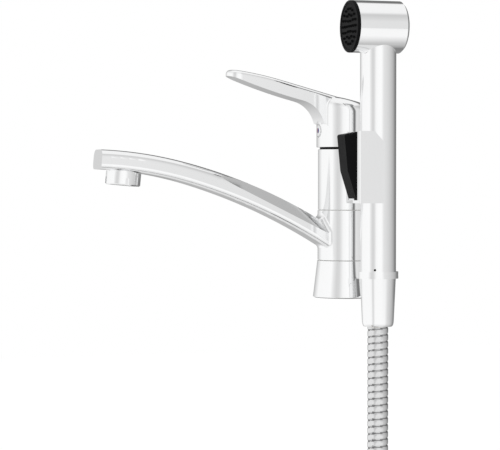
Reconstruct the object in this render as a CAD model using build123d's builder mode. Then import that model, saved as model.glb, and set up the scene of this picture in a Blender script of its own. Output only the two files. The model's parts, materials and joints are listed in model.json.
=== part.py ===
"""A single-lever kitchen tap with a long swivel spout and a separate hand spray on a metal hose.

The tap stands on a deck at z = 0, on its own vertical axis. The spout and the lever point along -X.
The hand spray stands beside the tap, on the -Y side, in the ring of a bent strip that is clamped under
the tap's foot. Its hose hangs through the deck, and the length that is not in use is wound and tied.
"""

import os
from math import cos, hypot, pi, radians, sin, sqrt, tan

from build123d import *

os.makedirs("parts", exist_ok=True)

# ------------------------------------------------------------------ driving sizes, mm

# clearances
RUNNING_GAP = 0.10
LOOSE_GAP = 0.30

# foot
GASKET_HEIGHT = 1.0
GASKET_SHOW = 0.3
GASKET_INSET = 1.2
GASKET_WIDTH = 3.2
FOOT_RADIUS = 25.8
FOOT_TOP_RADIUS = 22.4
FOOT_HEIGHT = 28.6
FOOT_EDGE = 0.7
FOOT_RECESS_HEIGHT = 4.0

# tap body
CORE_RADIUS = 17.0
BODY_RADIUS = 21.9
SEAM = 0.7
COLLAR_HEIGHT = 38.3
COLLAR_RADIUS = 22.2
BODY_TOP = 115.0
BODY_EDGE = 0.6
STUD_RADIUS = 4.0
STUD_DEPTH = 22.0
INLET_RADIUS = 4.5
INLET_OFFSET = 10.5
INLET_DEPTH = 24.0
CHANNEL_RADIUS = 3.2
OUTLET_HEIGHT = 48.0
CARTRIDGE_BORE = 17.6
CARTRIDGE_DEPTH = 43.0
O_RING_SECTION = 1.2
O_RING_INSET = 5.0

# cartridge
SEAL_HEIGHT = 1.5
CARTRIDGE_BASE_HEIGHT = 3.0
CARTRIDGE_HOUSING_HEIGHT = 27.0
CARTRIDGE_WALL = 2.6
DISC_HEIGHT = 3.6
CARRIER_HEIGHT = 4.4
ROTOR_NECK_RADIUS = 10.4
ROTOR_RISE = 39.5
SPINDLE_WIDTH = 7.0
SPINDLE_RISE = 59.0
SPINDLE_ARM = 9.0
SPINDLE_BALL = 3.0
PIN_RADIUS = 1.5
LIFT_ANGLE = 20.0
NUT_HEIGHT = 6.0

# lever
CAP_RADIUS = 23.1
CAP_WALL = 2.3
CAP_GAP = 1.7
CAP_DEPTH = 22.3
CAP_SHOULDER = 8.0
LEVER_RISE = 37.5
LEVER_SLOPE = 0.272
LEVER_END = -97.7
LEVER_TIP = (-101.0, 61.0)
LEVER_TOP_BEND = -56.0
LEVER_TIP_RADIUS = 10.0
LEVER_ROOT_HALF_WIDTH = 12.5
LEVER_CROWN = 3.2
LEVER_ROOT_FILLET = 2.0
LEVER_UNDER_END = (-101.0, 56.6)
LEVER_UNDER_TIP = (-93.5, 54.4)
LEVER_UNDER_MIDDLE = (-74.0, 47.3)
LEVER_UNDER_BEND = (-39.5, 37.2)
LEVER_UNDER_ROOT = (-22.6, 20.0)
SOCKET_RADIUS = 7.2
SCREW_RADIUS = 2.5
SCREW_LENGTH = 8.0
MARK_RADIUS = 5.3
MARK_RISE = 14.4
MARK_DEPTH = 1.8

# spout
SPOUT_WIDTH = 27.0
SPOUT_WALL = 2.2
SPOUT_TOP_ROOT = (-14.0, 54.2)
SPOUT_TOP_MIDDLE = (-79.7, 87.4)
SPOUT_TOP_BEND = (-135.3, 105.3)
SPOUT_TOP_TIP = (-198.0, 114.1)
SPOUT_UNDER_ROOT = (-14.0, 35.8)
SPOUT_UNDER_MIDDLE = (-72.7, 67.4)
SPOUT_UNDER_BEND = (-128.3, 87.9)
SPOUT_UNDER_TIP = (-199.2, 99.3)
SPOUT_TOP_EDGE = 6.0
SPOUT_UNDER_EDGE = 4.0
SPOUT_FACET_START = (-120.0, 99.5)
SPOUT_FACET_END = (-20.0, 50.5)
SPOUT_FACET_LEAN = 0.62
SPOUT_ROOT_FILLET = 4.0
AERATOR_X = -178.5
AERATOR_TILT = 5.3
AERATOR_RADIUS = 13.2
AERATOR_HEIGHT = 10.6
AERATOR_THREAD_RADIUS = 11.0
AERATOR_THREAD_HEIGHT = 4.0
AERATOR_WALL = 1.6
AERATOR_SLOT = 3.0

# hand spray
SPRAY_Y = -67.5
TUBE_RADIUS = 13.5
TUBE_WALL = 2.4
COLLAR_RING_BOTTOM = 19.2
COLLAR_RING_HEIGHT = 3.6
COLLAR_RING_RADIUS = 15.2
HEAD_HEIGHT = 205.4
HEAD_RADIUS = 19.5
HEAD_FRONT = -23.5
HEAD_BACK = 18.0
HEAD_WALL = 2.0
HEAD_EDGE = 1.8
FACE_RIM_DEPTH = 2.4
FACE_RIM_WALL = 2.4
FACE_THICKNESS = 2.0
NOZZLE_RADIUS = 0.7
NOZZLE_RINGS = 3
NOZZLE_RING_STEP = 4.4
HOUSING_FRONT = -20.2
HOUSING_BOTTOM = 74.0
HOUSING_TOP = 127.5
HOUSING_SHOULDER = (8.0, 8.5)
POCKET_WIDTH = 19.0
POCKET_DEPTH = 9.7
PIN_END_WALL = 1.6
TRIGGER_WIDTH = 18.2
TRIGGER_TOP_FRONT = (-29.8, 124.9)
TRIGGER_KINK = (-27.2, 98.0)
TRIGGER_BOTTOM_FRONT = (-20.6, 77.4)
TRIGGER_BACK = -16.6
TRIGGER_HEAD_RADIUS = 3.6
TRIGGER_PIVOT = (-14.2, 123.6)
TRIGGER_PIN_RADIUS = 1.25
TRIGGER_ANGLE = 6.0
LIP_LENGTH = 2.5
LIP_HEIGHT = 2.2
LIP_WIDTH = 13.0
VALVE_HEIGHT = 96.6
VALVE_RADIUS = 5.0
VALVE_END = 9.0
WEB_HALF_HEIGHT = 12.0
PORT_RADIUS = 2.6
PLUNGER_RADIUS = 2.0
GLAND_LENGTH = 4.0
COLLAR_SCREW_RADIUS = 0.9
COLLAR_SCREW_HEIGHT = 24.3
COLLAR_SCREW_BEARING = -120.8

# hose end under the spray
CONE_BOTTOM = -18.2
CONE_TOP_RADIUS = 13.4
CONE_WAIST = (12.0, -12.0)
CONE_MOUTH_RADIUS = 10.6
SPIGOT_RADIUS = 10.2
SPIGOT_END = -2.0
SPIGOT_BORE = 7.5
WASHER_HEIGHT = 1.5
FERRULE_FLANGE_HEIGHT = 2.4
FERRULE_RADIUS = 8.0

# hose
HOSE_DIAMETER = 15.6
HOSE_BORE = 12.0
RIB_PITCH = 5.2
RIB_COUNT = 38
RIB_DEPTH = 0.9
COIL_RADIUS = 80.6
COIL_TURNS = 2.5
COIL_PITCH = 16.4
COIL_STEPS_PER_TURN = 4
COIL_END_SHIFT = 6.4
COIL_END_RUN = 2 * HOSE_DIAMETER
TIE_BEARING = 90.0
TIE_WIDTH = 12.0
TIE_THICKNESS = 1.2
END_NUT_ACROSS_FLATS = 22.0
END_NUT_LENGTH = 16.0
END_NUT_THREAD_RADIUS = 9.8
END_NUT_THREAD_DEPTH = 7.8
END_RELIEF_RADIUS = 10.1
END_RELIEF_HEIGHT = 1.7
END_SLEEVE_LENGTH = 14.0
END_SLEEVE_WALL = 0.9
END_NECK_RADIUS = 8.4
END_FLANGE_HEIGHT = 1.5

# bracket
BRACKET_THICKNESS = 1.5
BRACKET_RING_WALL = 1.5
BRACKET_HOLE_GAP = 0.35
BRACKET_X = 8.0
BRACKET_WIDTH = 10.0
BRACKET_LEG_Y = -44.0
BRACKET_CLAMP_RADIUS = 23.4

# ------------------------------------------------------------------ heights that follow

collar_bottom = FOOT_HEIGHT + SEAM
collar_top = collar_bottom + COLLAR_HEIGHT
body_bottom = collar_top + SEAM
cartridge_seat = BODY_TOP - CARTRIDGE_DEPTH
seal_top = cartridge_seat + SEAL_HEIGHT
base_top = seal_top + CARTRIDGE_BASE_HEIGHT
housing_top = base_top + CARTRIDGE_HOUSING_HEIGHT
cartridge_radius = CARTRIDGE_BORE - LOOSE_GAP
cavity_radius = cartridge_radius - CARTRIDGE_WALL
fixed_disc_top = base_top + DISC_HEIGHT
moving_disc_bottom = fixed_disc_top + RUNNING_GAP
carrier_bottom = moving_disc_bottom + DISC_HEIGHT
carrier_top = carrier_bottom + CARRIER_HEIGHT
rotor_bottom = carrier_top + RUNNING_GAP
rotor_top = cartridge_seat + ROTOR_RISE
pivot_height = carrier_bottom + 2 * RUNNING_GAP + SPINDLE_BALL + SPINDLE_ARM
spindle_top = cartridge_seat + SPINDLE_RISE
cap_bottom = BODY_TOP + CAP_GAP
cap_bore = CAP_RADIUS - CAP_WALL
cap_ceiling = cap_bottom + CAP_DEPTH
lever_top_height = BODY_TOP + LEVER_RISE
mark_height = BODY_TOP + MARK_RISE
tube_bottom = COLLAR_RING_BOTTOM + COLLAR_RING_HEIGHT
tube_bore = TUBE_RADIUS - TUBE_WALL
hose_radius = HOSE_DIAMETER / 2
hose_top = CONE_BOTTOM - RUNNING_GAP
hose_drop_bottom = hose_top - RIB_PITCH * RIB_COUNT
coil_centre = (-COIL_RADIUS, hose_drop_bottom)


def finish(part, name):
    """Names the piece and writes it as parts/name.step."""
    part.label = name
    export_step(part, f"parts/{name}.step")


def ring(outer, inner, bottom, top, centre=(0.0, 0.0)):
    """A plain upright ring."""
    with BuildPart() as made:
        with BuildSketch(Plane.XY.offset(bottom)):
            with Locations(centre):
                Circle(outer)
                Circle(inner, mode=Mode.SUBTRACT)
        extrude(amount=top - bottom)
    return made.part


def along_x(x, height, y=0.0):
    """A plane whose normal is +X, with its own x along +Y and its own y up."""
    return Plane(origin=(x, y, height), x_dir=(0, 1, 0), z_dir=(1, 0, 0))


# ------------------------------------------------------------------ foot

gasket_radius = FOOT_RADIUS - GASKET_INSET
finish(ring(gasket_radius, gasket_radius - GASKET_WIDTH, 0, GASKET_HEIGHT), "base_gasket")

with BuildPart() as foot_ring:
    with BuildSketch(Plane.XZ):
        with BuildLine():
            Polyline(
                (CORE_RADIUS + RUNNING_GAP, GASKET_SHOW),
                (FOOT_RADIUS, GASKET_SHOW),
                (FOOT_TOP_RADIUS, FOOT_HEIGHT),
                (CORE_RADIUS + RUNNING_GAP, FOOT_HEIGHT),
                close=True,
            )
        make_face()
    revolve(axis=Axis.Z)
    with BuildSketch(Plane.XY.offset(GASKET_SHOW)):
        Circle(gasket_radius + RUNNING_GAP)
    extrude(amount=GASKET_HEIGHT - GASKET_SHOW, mode=Mode.SUBTRACT)
    with BuildSketch(Plane.XY.offset(GASKET_HEIGHT)):
        Circle(BRACKET_CLAMP_RADIUS + LOOSE_GAP)
    extrude(amount=FOOT_RECESS_HEIGHT, mode=Mode.SUBTRACT)
    fillet(foot_ring.edges().filter_by(GeomType.CIRCLE).group_by(SortBy.RADIUS)[-1], FOOT_EDGE)
    slot_run = FOOT_RADIUS / 2
    slot_top = GASKET_HEIGHT + BRACKET_THICKNESS + LOOSE_GAP
    with BuildSketch(Plane.XY.offset(GASKET_SHOW)):
        with Locations((BRACKET_X, slot_run / 2 - FOOT_RADIUS)):
            Rectangle(BRACKET_WIDTH + 2 * LOOSE_GAP, slot_run)
    extrude(amount=slot_top - GASKET_SHOW, mode=Mode.SUBTRACT)
finish(foot_ring.part, "foot_ring")

# ------------------------------------------------------------------ tap body casting

with BuildPart() as valve_body:
    with BuildSketch():
        Circle(CORE_RADIUS)
    extrude(amount=cartridge_seat)
    with BuildSketch(Plane.XY.offset(body_bottom)):
        Circle(BODY_RADIUS)
    extrude(amount=BODY_TOP - body_bottom)
    fillet(valve_body.edges().filter_by(GeomType.CIRCLE).group_by(Axis.Z)[-1], BODY_EDGE)
    with BuildSketch(Plane.XY.offset(cartridge_seat)):
        Circle(CARTRIDGE_BORE)
    extrude(amount=BODY_TOP - cartridge_seat, mode=Mode.SUBTRACT)
    for groove_height in (collar_bottom + O_RING_INSET, collar_top - O_RING_INSET):
        with BuildSketch(Plane.XZ):
            with Locations((CORE_RADIUS, groove_height)):
                Rectangle(2 * (O_RING_SECTION * 2 - 0.5), 2 * O_RING_SECTION + 0.4)
        revolve(axis=Axis.Z, mode=Mode.SUBTRACT)
    with Locations((0, 0, 0)):
        Cylinder(STUD_RADIUS, STUD_DEPTH, align=(Align.CENTER, Align.CENTER, Align.MIN), mode=Mode.SUBTRACT)
    with Locations((0, INLET_OFFSET, 0), (0, -INLET_OFFSET, 0)):
        Cylinder(
            CHANNEL_RADIUS, cartridge_seat, align=(Align.CENTER, Align.CENTER, Align.MIN), mode=Mode.SUBTRACT
        )
    with Locations((0, INLET_OFFSET, 0), (0, -INLET_OFFSET, 0), (INLET_OFFSET, 0, 0)):
        Cylinder(INLET_RADIUS, INLET_DEPTH, align=(Align.CENTER, Align.CENTER, Align.MIN), mode=Mode.SUBTRACT)
    with Locations((-INLET_OFFSET, 0, OUTLET_HEIGHT)):
        Cylinder(
            CHANNEL_RADIUS,
            cartridge_seat - OUTLET_HEIGHT,
            align=(Align.CENTER, Align.CENTER, Align.MIN),
            mode=Mode.SUBTRACT,
        )
    with BuildSketch(along_x(-CORE_RADIUS - 1, OUTLET_HEIGHT)):
        Circle(CHANNEL_RADIUS)
    extrude(amount=CORE_RADIUS + 1 - INLET_OFFSET, mode=Mode.SUBTRACT)
finish(valve_body.part, "valve_body")

o_ring_centre = CORE_RADIUS - (O_RING_SECTION * 2 - 0.5) + O_RING_SECTION + 0.05
for o_ring_name, o_ring_height in (
    ("spout_o_ring_lower", collar_bottom + O_RING_INSET),
    ("spout_o_ring_upper", collar_top - O_RING_INSET),
):
    with BuildPart() as o_ring:
        with BuildSketch(Plane.XZ):
            with Locations((o_ring_centre, o_ring_height)):
                Circle(O_RING_SECTION)
        revolve(axis=Axis.Z)
    finish(o_ring.part, o_ring_name)

for glide_name, glide_bottom in (("glide_ring_lower", FOOT_HEIGHT), ("glide_ring_upper", collar_top)):
    glide_inner = CORE_RADIUS + RUNNING_GAP
    finish(ring(BODY_RADIUS - 0.5, glide_inner, glide_bottom, glide_bottom + SEAM), glide_name)

# ------------------------------------------------------------------ cartridge

finish(ring(cartridge_radius, cavity_radius + 1.2, cartridge_seat, seal_top), "cartridge_seal")

with BuildPart() as cartridge_base:
    with BuildSketch(Plane.XY.offset(seal_top)):
        Circle(cartridge_radius)
        with Locations((0, INLET_OFFSET - 2), (0, 2 - INLET_OFFSET), (2 - INLET_OFFSET, 0)):
            Circle(CHANNEL_RADIUS, mode=Mode.SUBTRACT)
    extrude(amount=CARTRIDGE_BASE_HEIGHT)
finish(cartridge_base.part, "cartridge_base")

with BuildPart() as cartridge_housing:
    with BuildSketch(Plane.XY.offset(base_top)):
        Circle(cartridge_radius)
    extrude(amount=CARTRIDGE_HOUSING_HEIGHT)
    with BuildSketch(Plane.XY.offset(base_top)):
        Circle(cavity_radius)
    extrude(amount=CARTRIDGE_HOUSING_HEIGHT - CARTRIDGE_WALL, mode=Mode.SUBTRACT)
    with BuildSketch(Plane.XY.offset(base_top)):
        Circle(ROTOR_NECK_RADIUS + RUNNING_GAP)
    extrude(amount=CARTRIDGE_HOUSING_HEIGHT, mode=Mode.SUBTRACT)
finish(cartridge_housing.part, "cartridge_housing")

with BuildPart() as fixed_disc:
    with BuildSketch(Plane.XY.offset(base_top)):
        Circle(cavity_radius - LOOSE_GAP)
        with Locations((0, INLET_OFFSET - 2), (0, 2 - INLET_OFFSET), (2 - INLET_OFFSET, 0)):
            Circle(CHANNEL_RADIUS - 0.6, mode=Mode.SUBTRACT)
    extrude(amount=DISC_HEIGHT)
finish(fixed_disc.part, "fixed_ceramic_disc")

disc_travel = SPINDLE_ARM * sin(radians(LIFT_ANGLE))
moving_disc_radius = cavity_radius - disc_travel - LOOSE_GAP
with BuildPart() as moving_disc:
    with BuildSketch(Plane.XY.offset(moving_disc_bottom)):
        Circle(moving_disc_radius)
    extrude(amount=DISC_HEIGHT)
    with BuildSketch(Plane.XY.offset(moving_disc_bottom)):
        SlotOverall(moving_disc_radius * 1.2, CHANNEL_RADIUS * 1.6)
    extrude(amount=DISC_HEIGHT / 2, mode=Mode.SUBTRACT)
finish(moving_disc.part, "moving_ceramic_disc")

with BuildPart() as disc_carrier:
    with BuildSketch(Plane.XY.offset(carrier_bottom)):
        Circle(moving_disc_radius - 1)
        Rectangle(2 * (SPINDLE_BALL + RUNNING_GAP), 2 * (SPINDLE_BALL + LOOSE_GAP), mode=Mode.SUBTRACT)
    extrude(amount=CARRIER_HEIGHT)
finish(disc_carrier.part, "disc_carrier")

spindle_swing = SPINDLE_WIDTH / 2 + tan(radians(LIFT_ANGLE)) * (rotor_top - pivot_height) + 1.4
with BuildPart() as rotor:
    with BuildSketch(Plane.XY.offset(rotor_bottom)):
        Circle(cavity_radius - RUNNING_GAP)
    extrude(amount=housing_top - CARTRIDGE_WALL - RUNNING_GAP - rotor_bottom)
    with BuildSketch(Plane.XY.offset(rotor_bottom)):
        Circle(ROTOR_NECK_RADIUS)
    extrude(amount=rotor_top - rotor_bottom)
    with BuildSketch(Plane.XY.offset(rotor_bottom)):
        Rectangle(2 * spindle_swing, SPINDLE_WIDTH + 2 * LOOSE_GAP)
    extrude(amount=rotor_top - rotor_bottom, mode=Mode.SUBTRACT)
    with BuildSketch(Plane.XZ.offset(-cavity_radius)):
        with Locations((0, pivot_height)):
            Circle(PIN_RADIUS)
    extrude(amount=2 * cavity_radius, mode=Mode.SUBTRACT)
finish(rotor.part, "cartridge_rotor")

pin_half_length = cavity_radius - 1.5
with BuildPart() as spindle_pin:
    with BuildSketch(Plane.XZ.offset(-pin_half_length)):
        with Locations((0, pivot_height)):
            Circle(PIN_RADIUS)
    extrude(amount=2 * pin_half_length)
finish(spindle_pin.part, "spindle_pin")

with BuildPart() as spindle:
    with BuildSketch(Plane.XY.offset(pivot_height - SPINDLE_ARM + SPINDLE_BALL / 2)):
        Rectangle(SPINDLE_BALL * 1.4, SPINDLE_BALL * 1.4)
    extrude(amount=SPINDLE_ARM)
    with BuildSketch(Plane.XY.offset(pivot_height - SPINDLE_WIDTH / 2)):
        Rectangle(SPINDLE_WIDTH, SPINDLE_WIDTH)
    extrude(amount=spindle_top - pivot_height + SPINDLE_WIDTH / 2)
    with Locations((0, 0, pivot_height - SPINDLE_ARM)):
        Sphere(SPINDLE_BALL)
    with BuildSketch(Plane.XZ.offset(-SPINDLE_WIDTH)):
        with Locations((0, pivot_height)):
            Circle(PIN_RADIUS + 0.05)
    extrude(amount=2 * SPINDLE_WIDTH, mode=Mode.SUBTRACT)
finish(spindle.part, "lever_spindle")

nut_inner = ROTOR_NECK_RADIUS + 1.6
with BuildPart() as cartridge_nut:
    with BuildSketch(Plane.XY.offset(housing_top)):
        Circle(cartridge_radius)
        Circle(nut_inner, mode=Mode.SUBTRACT)
    extrude(amount=NUT_HEIGHT)
    with BuildSketch(Plane.XY.offset(housing_top + NUT_HEIGHT)):
        RegularPolygon(nut_inner + 3.4, 6)
        Circle(nut_inner, mode=Mode.SUBTRACT)
    extrude(amount=3.0)
finish(cartridge_nut.part, "cartridge_nut")

with BuildPart() as dome_ring:
    with BuildSketch(Plane.XZ):
        with BuildLine():
            Polyline(
                (nut_inner + 4.2, BODY_TOP),
                (cap_bore - LOOSE_GAP, BODY_TOP),
                (cap_bore - LOOSE_GAP, BODY_TOP + 1.2),
                (nut_inner + 5.4, BODY_TOP + 3.4),
                (nut_inner + 4.2, BODY_TOP + 3.4),
                close=True,
            )
        make_face()
    revolve(axis=Axis.Z)
finish(dome_ring.part, "dome_ring")

# ------------------------------------------------------------------ lever


def lever_top(x):
    """Height of the straight part of the lever's back at x."""
    return lever_top_height - LEVER_SLOPE * x


def above_body(point):
    """A lever point, given from the body's top, in the tap's heights."""
    return (point[0], BODY_TOP + point[1])


with BuildPart() as lever_arm:
    with BuildSketch(Plane.XZ):
        with BuildLine():
            top_line = Line((0, lever_top(0)), (LEVER_TOP_BEND, lever_top(LEVER_TOP_BEND)))
            top_arc = TangentArc(top_line @ 1, above_body(LEVER_TIP), tangent=top_line % 1)
            Polyline(above_body(LEVER_TIP), above_body(LEVER_UNDER_END), above_body(LEVER_UNDER_TIP))
            under_arc = ThreePointArc(
                above_body(LEVER_UNDER_TIP), above_body(LEVER_UNDER_MIDDLE), above_body(LEVER_UNDER_BEND)
            )
            bend_arc = TangentArc(under_arc @ 1, above_body(LEVER_UNDER_ROOT), tangent=under_arc % 1)
            Polyline(bend_arc @ 1, (0, above_body(LEVER_UNDER_ROOT)[1]), (0, lever_top(0)))
        make_face()
    extrude(amount=CAP_RADIUS, both=True)
    with BuildSketch(Plane.XY.offset(BODY_TOP)):
        with BuildLine():
            tip_centre = LEVER_END + LEVER_TIP_RADIUS
            Line((tip_centre, -LEVER_TIP_RADIUS), (0, -LEVER_ROOT_HALF_WIDTH))
            Line((0, -LEVER_ROOT_HALF_WIDTH), (0, LEVER_ROOT_HALF_WIDTH))
            Line((0, LEVER_ROOT_HALF_WIDTH), (tip_centre, LEVER_TIP_RADIUS))
            ThreePointArc((tip_centre, LEVER_TIP_RADIUS), (LEVER_END, 0), (tip_centre, -LEVER_TIP_RADIUS))
        make_face()
    extrude(amount=4 * CAP_RADIUS, mode=Mode.INTERSECT)
    crown_edges = (
        lever_arm.faces()
        .filter_by(lambda f: f.normal_at().Z > 0.5)
        .edges()
        .filter_by(lambda e: abs(e.center().Y) > 1 or e.center().X < LEVER_END + 6)
    )
    fillet(crown_edges, LEVER_CROWN)

with BuildPart() as lever_handle:
    with BuildSketch(Plane.XY.offset(cap_bottom)):
        Circle(CAP_RADIUS)
    extrude(amount=lever_top_height + CAP_RADIUS - cap_bottom)
    slope_length = hypot(1, LEVER_SLOPE)
    split(
        bisect_by=Plane(
            origin=(0, 0, lever_top_height),
            x_dir=(1 / slope_length, 0, -LEVER_SLOPE / slope_length),
            z_dir=(LEVER_SLOPE / slope_length, 0, 1 / slope_length),
        ),
        keep=Keep.BOTTOM,
    )
    fillet(lever_handle.faces().sort_by(Axis.Z)[-1].edges(), CAP_SHOULDER)
    add(lever_arm.part)
    fillet(lever_handle.edges(Select.NEW), LEVER_ROOT_FILLET)
    with BuildSketch(Plane.XY.offset(cap_bottom)):
        Circle(cap_bore)
    extrude(amount=cap_ceiling - cap_bottom, mode=Mode.SUBTRACT)
    with BuildSketch(Plane.XY.offset(BODY_TOP + 5.5)):
        Circle(SOCKET_RADIUS)
        Rectangle(SPINDLE_WIDTH + 2 * RUNNING_GAP, SPINDLE_WIDTH + 2 * RUNNING_GAP, mode=Mode.SUBTRACT)
    extrude(amount=cap_ceiling - BODY_TOP - 5.5)
    with BuildSketch(along_x(-CAP_RADIUS - 1, mark_height)):
        Circle(MARK_RADIUS + RUNNING_GAP)
    extrude(amount=MARK_DEPTH + 2.6, mode=Mode.SUBTRACT)
    with BuildSketch(along_x(-CAP_RADIUS - 1, mark_height)):
        Circle(SCREW_RADIUS + RUNNING_GAP)
    extrude(amount=CAP_RADIUS + 1 - SPINDLE_WIDTH / 2, mode=Mode.SUBTRACT)
finish(lever_handle.part, "lever_handle")

screw_tip = -SPINDLE_WIDTH / 2 - 0.3
with BuildPart() as lever_screw:
    with BuildSketch(along_x(screw_tip - SCREW_LENGTH, mark_height)):
        Circle(SCREW_RADIUS)
    extrude(amount=SCREW_LENGTH)
    with BuildSketch(along_x(screw_tip - SCREW_LENGTH, mark_height)):
        RegularPolygon(SCREW_RADIUS * 0.5, 6)
    extrude(amount=SCREW_LENGTH * 0.4, mode=Mode.SUBTRACT)
finish(lever_screw.part, "lever_grub_screw")

mark_back = -CAP_RADIUS - 1 + MARK_DEPTH + 2.6
with BuildPart() as marker_plug:
    with BuildSketch(along_x(-CAP_RADIUS - 1, mark_height)):
        Circle(MARK_RADIUS)
    extrude(amount=mark_back + CAP_RADIUS + 1)
    with BuildSketch(Plane.XY.offset(cap_bottom)):
        Circle(CAP_RADIUS + 0.25)
    extrude(amount=cap_ceiling - cap_bottom, mode=Mode.INTERSECT)
finish(marker_plug.part, "temperature_mark")

# ------------------------------------------------------------------ spout


def spout_outline(inset, half_width, root_x, tip_x):
    """The spout's side face at y = half_width, drawn in by inset on its top and under sides."""

    def moved(point, rise):
        return (point[0], point[1] + rise)

    with BuildSketch(Plane.XZ.offset(-half_width)) as outline:
        with BuildLine():
            top_arc = ThreePointArc(
                moved(SPOUT_TOP_ROOT, -inset), moved(SPOUT_TOP_MIDDLE, -inset), moved(SPOUT_TOP_BEND, -inset)
            )
            tip_arc = TangentArc(top_arc @ 1, moved(SPOUT_TOP_TIP, -inset), tangent=top_arc % 1)
            under_arc = ThreePointArc(
                moved(SPOUT_UNDER_ROOT, inset),
                moved(SPOUT_UNDER_MIDDLE, inset),
                moved(SPOUT_UNDER_BEND, inset),
            )
            under_tip = TangentArc(under_arc @ 1, moved(SPOUT_UNDER_TIP, inset), tangent=under_arc % 1)
            Line(tip_arc @ 1, under_tip @ 1)
            Line(under_arc @ 0, top_arc @ 0)
        make_face()
        if inset:
            with Locations(((root_x + tip_x) / 2, HEAD_HEIGHT / 2)):
                Rectangle(root_x - tip_x, HEAD_HEIGHT * 2, mode=Mode.INTERSECT)
    return outline.sketch


tilt = radians(AERATOR_TILT)
under_at_aerator = SPOUT_UNDER_TIP[1] - tan(tilt) * (AERATOR_X - SPOUT_UNDER_TIP[0]) + 0.4
aerator_plane = Plane(
    origin=(AERATOR_X, 0, under_at_aerator), x_dir=(cos(tilt), 0, -sin(tilt)), z_dir=(sin(tilt), 0, cos(tilt))
)

def facet_plane(side, inset=0):
    """The plane that takes off one upper side of the spout, or that plane set deeper by an inset."""
    start = Vector(SPOUT_FACET_START[0], side * SPOUT_WIDTH / 2, SPOUT_FACET_START[1])
    end = Vector(SPOUT_FACET_END[0], side * SPOUT_WIDTH / 2, SPOUT_FACET_END[1])
    way = (end - start).normalized()
    outward = way.cross(Vector(0, -side * SPOUT_FACET_LEAN, 1)) * -side
    return Plane(origin=start, x_dir=way, z_dir=outward).offset(-inset)


with BuildPart() as spout_bore:
    bore_half_width = SPOUT_WIDTH / 2 - SPOUT_WALL
    bore_outline = spout_outline(SPOUT_WALL, bore_half_width, -CORE_RADIUS, SPOUT_TOP_TIP[0] + SPOUT_WALL)
    extrude(bore_outline, amount=2 * bore_half_width)
    for side in (-1, 1):
        split(bisect_by=facet_plane(side, SPOUT_WALL), keep=Keep.BOTTOM)

with BuildPart() as spout:
    extrude(spout_outline(0, SPOUT_WIDTH / 2, 0, 0), amount=SPOUT_WIDTH)
    top_edges = (
        spout.faces()
        .filter_by(lambda f: f.geom_type == GeomType.CYLINDER and f.normal_at().Z > 0)
        .edges()
        .filter_by(GeomType.CIRCLE)
    )
    under_edges = (
        spout.faces()
        .filter_by(lambda f: f.geom_type == GeomType.CYLINDER and f.normal_at().Z < 0)
        .edges()
        .filter_by(GeomType.CIRCLE)
    )
    fillet(top_edges, SPOUT_TOP_EDGE)
    fillet(under_edges, SPOUT_UNDER_EDGE)
    for side in (-1, 1):
        split(bisect_by=facet_plane(side), keep=Keep.BOTTOM)
    with BuildSketch(Plane.XY.offset(collar_bottom)):
        Circle(COLLAR_RADIUS)
    extrude(amount=COLLAR_HEIGHT)
    fillet(spout.edges(Select.NEW), SPOUT_ROOT_FILLET)
    add(spout_bore.part, mode=Mode.SUBTRACT)
    with BuildSketch(Plane.XY.offset(collar_bottom)):
        Circle(CORE_RADIUS + 0.6)
    extrude(amount=COLLAR_HEIGHT, mode=Mode.SUBTRACT)
    with BuildSketch(aerator_plane.offset(-2)):
        Circle(AERATOR_THREAD_RADIUS)
    extrude(amount=2 + AERATOR_THREAD_HEIGHT, mode=Mode.SUBTRACT)
finish(spout.part, "spout")

with BuildPart() as aerator_shell:
    with BuildSketch(aerator_plane.offset(-AERATOR_HEIGHT)):
        Circle(AERATOR_RADIUS)
    extrude(amount=AERATOR_HEIGHT - 0.6)
    chamfer(aerator_shell.edges().filter_by(GeomType.CIRCLE).sort_by(Axis.Z)[0], 0.8)
    with BuildSketch(aerator_plane.offset(-0.6)):
        Circle(AERATOR_THREAD_RADIUS - RUNNING_GAP)
    extrude(amount=0.6 + AERATOR_THREAD_HEIGHT - 0.5)
    with BuildSketch(aerator_plane.offset(-AERATOR_HEIGHT)):
        Circle(AERATOR_THREAD_RADIUS - AERATOR_WALL)
    extrude(amount=AERATOR_HEIGHT + AERATOR_THREAD_HEIGHT, mode=Mode.SUBTRACT)
    with BuildSketch(aerator_plane.offset(-AERATOR_HEIGHT / 2)):
        with PolarLocations(AERATOR_RADIUS, 4, start_angle=-90):
            Rectangle(AERATOR_SLOT, AERATOR_SLOT * 0.9)
    extrude(amount=-AERATOR_HEIGHT / 2, mode=Mode.SUBTRACT)
finish(aerator_shell.part, "aerator_shell")

insert_radius = AERATOR_THREAD_RADIUS - AERATOR_WALL - 0.05
with BuildPart() as aerator_insert:
    with BuildSketch(aerator_plane.offset(1.2 - AERATOR_HEIGHT)):
        Circle(insert_radius)
    extrude(amount=AERATOR_HEIGHT)
    with BuildSketch(aerator_plane.offset(1.2 - AERATOR_HEIGHT)):
        with GridLocations(3.4, 3.4, 4, 4):
            Rectangle(2.2, 2.2)
    extrude(amount=4.0, mode=Mode.SUBTRACT)
finish(aerator_insert.part, "aerator_insert")

with BuildPart() as aerator_washer:
    with BuildSketch(aerator_plane.offset(2.4)):
        Circle(insert_radius)
        Circle(insert_radius - 2.4, mode=Mode.SUBTRACT)
    extrude(amount=1.0)
finish(aerator_washer.part, "aerator_washer")

# ------------------------------------------------------------------ hand spray shell

spray_axis = (0.0, SPRAY_Y)
spray_side = Plane.XZ.offset(-SPRAY_Y)
pocket_back = HOUSING_FRONT + POCKET_DEPTH
head_shell_front = HEAD_FRONT + FACE_RIM_DEPTH

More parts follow.
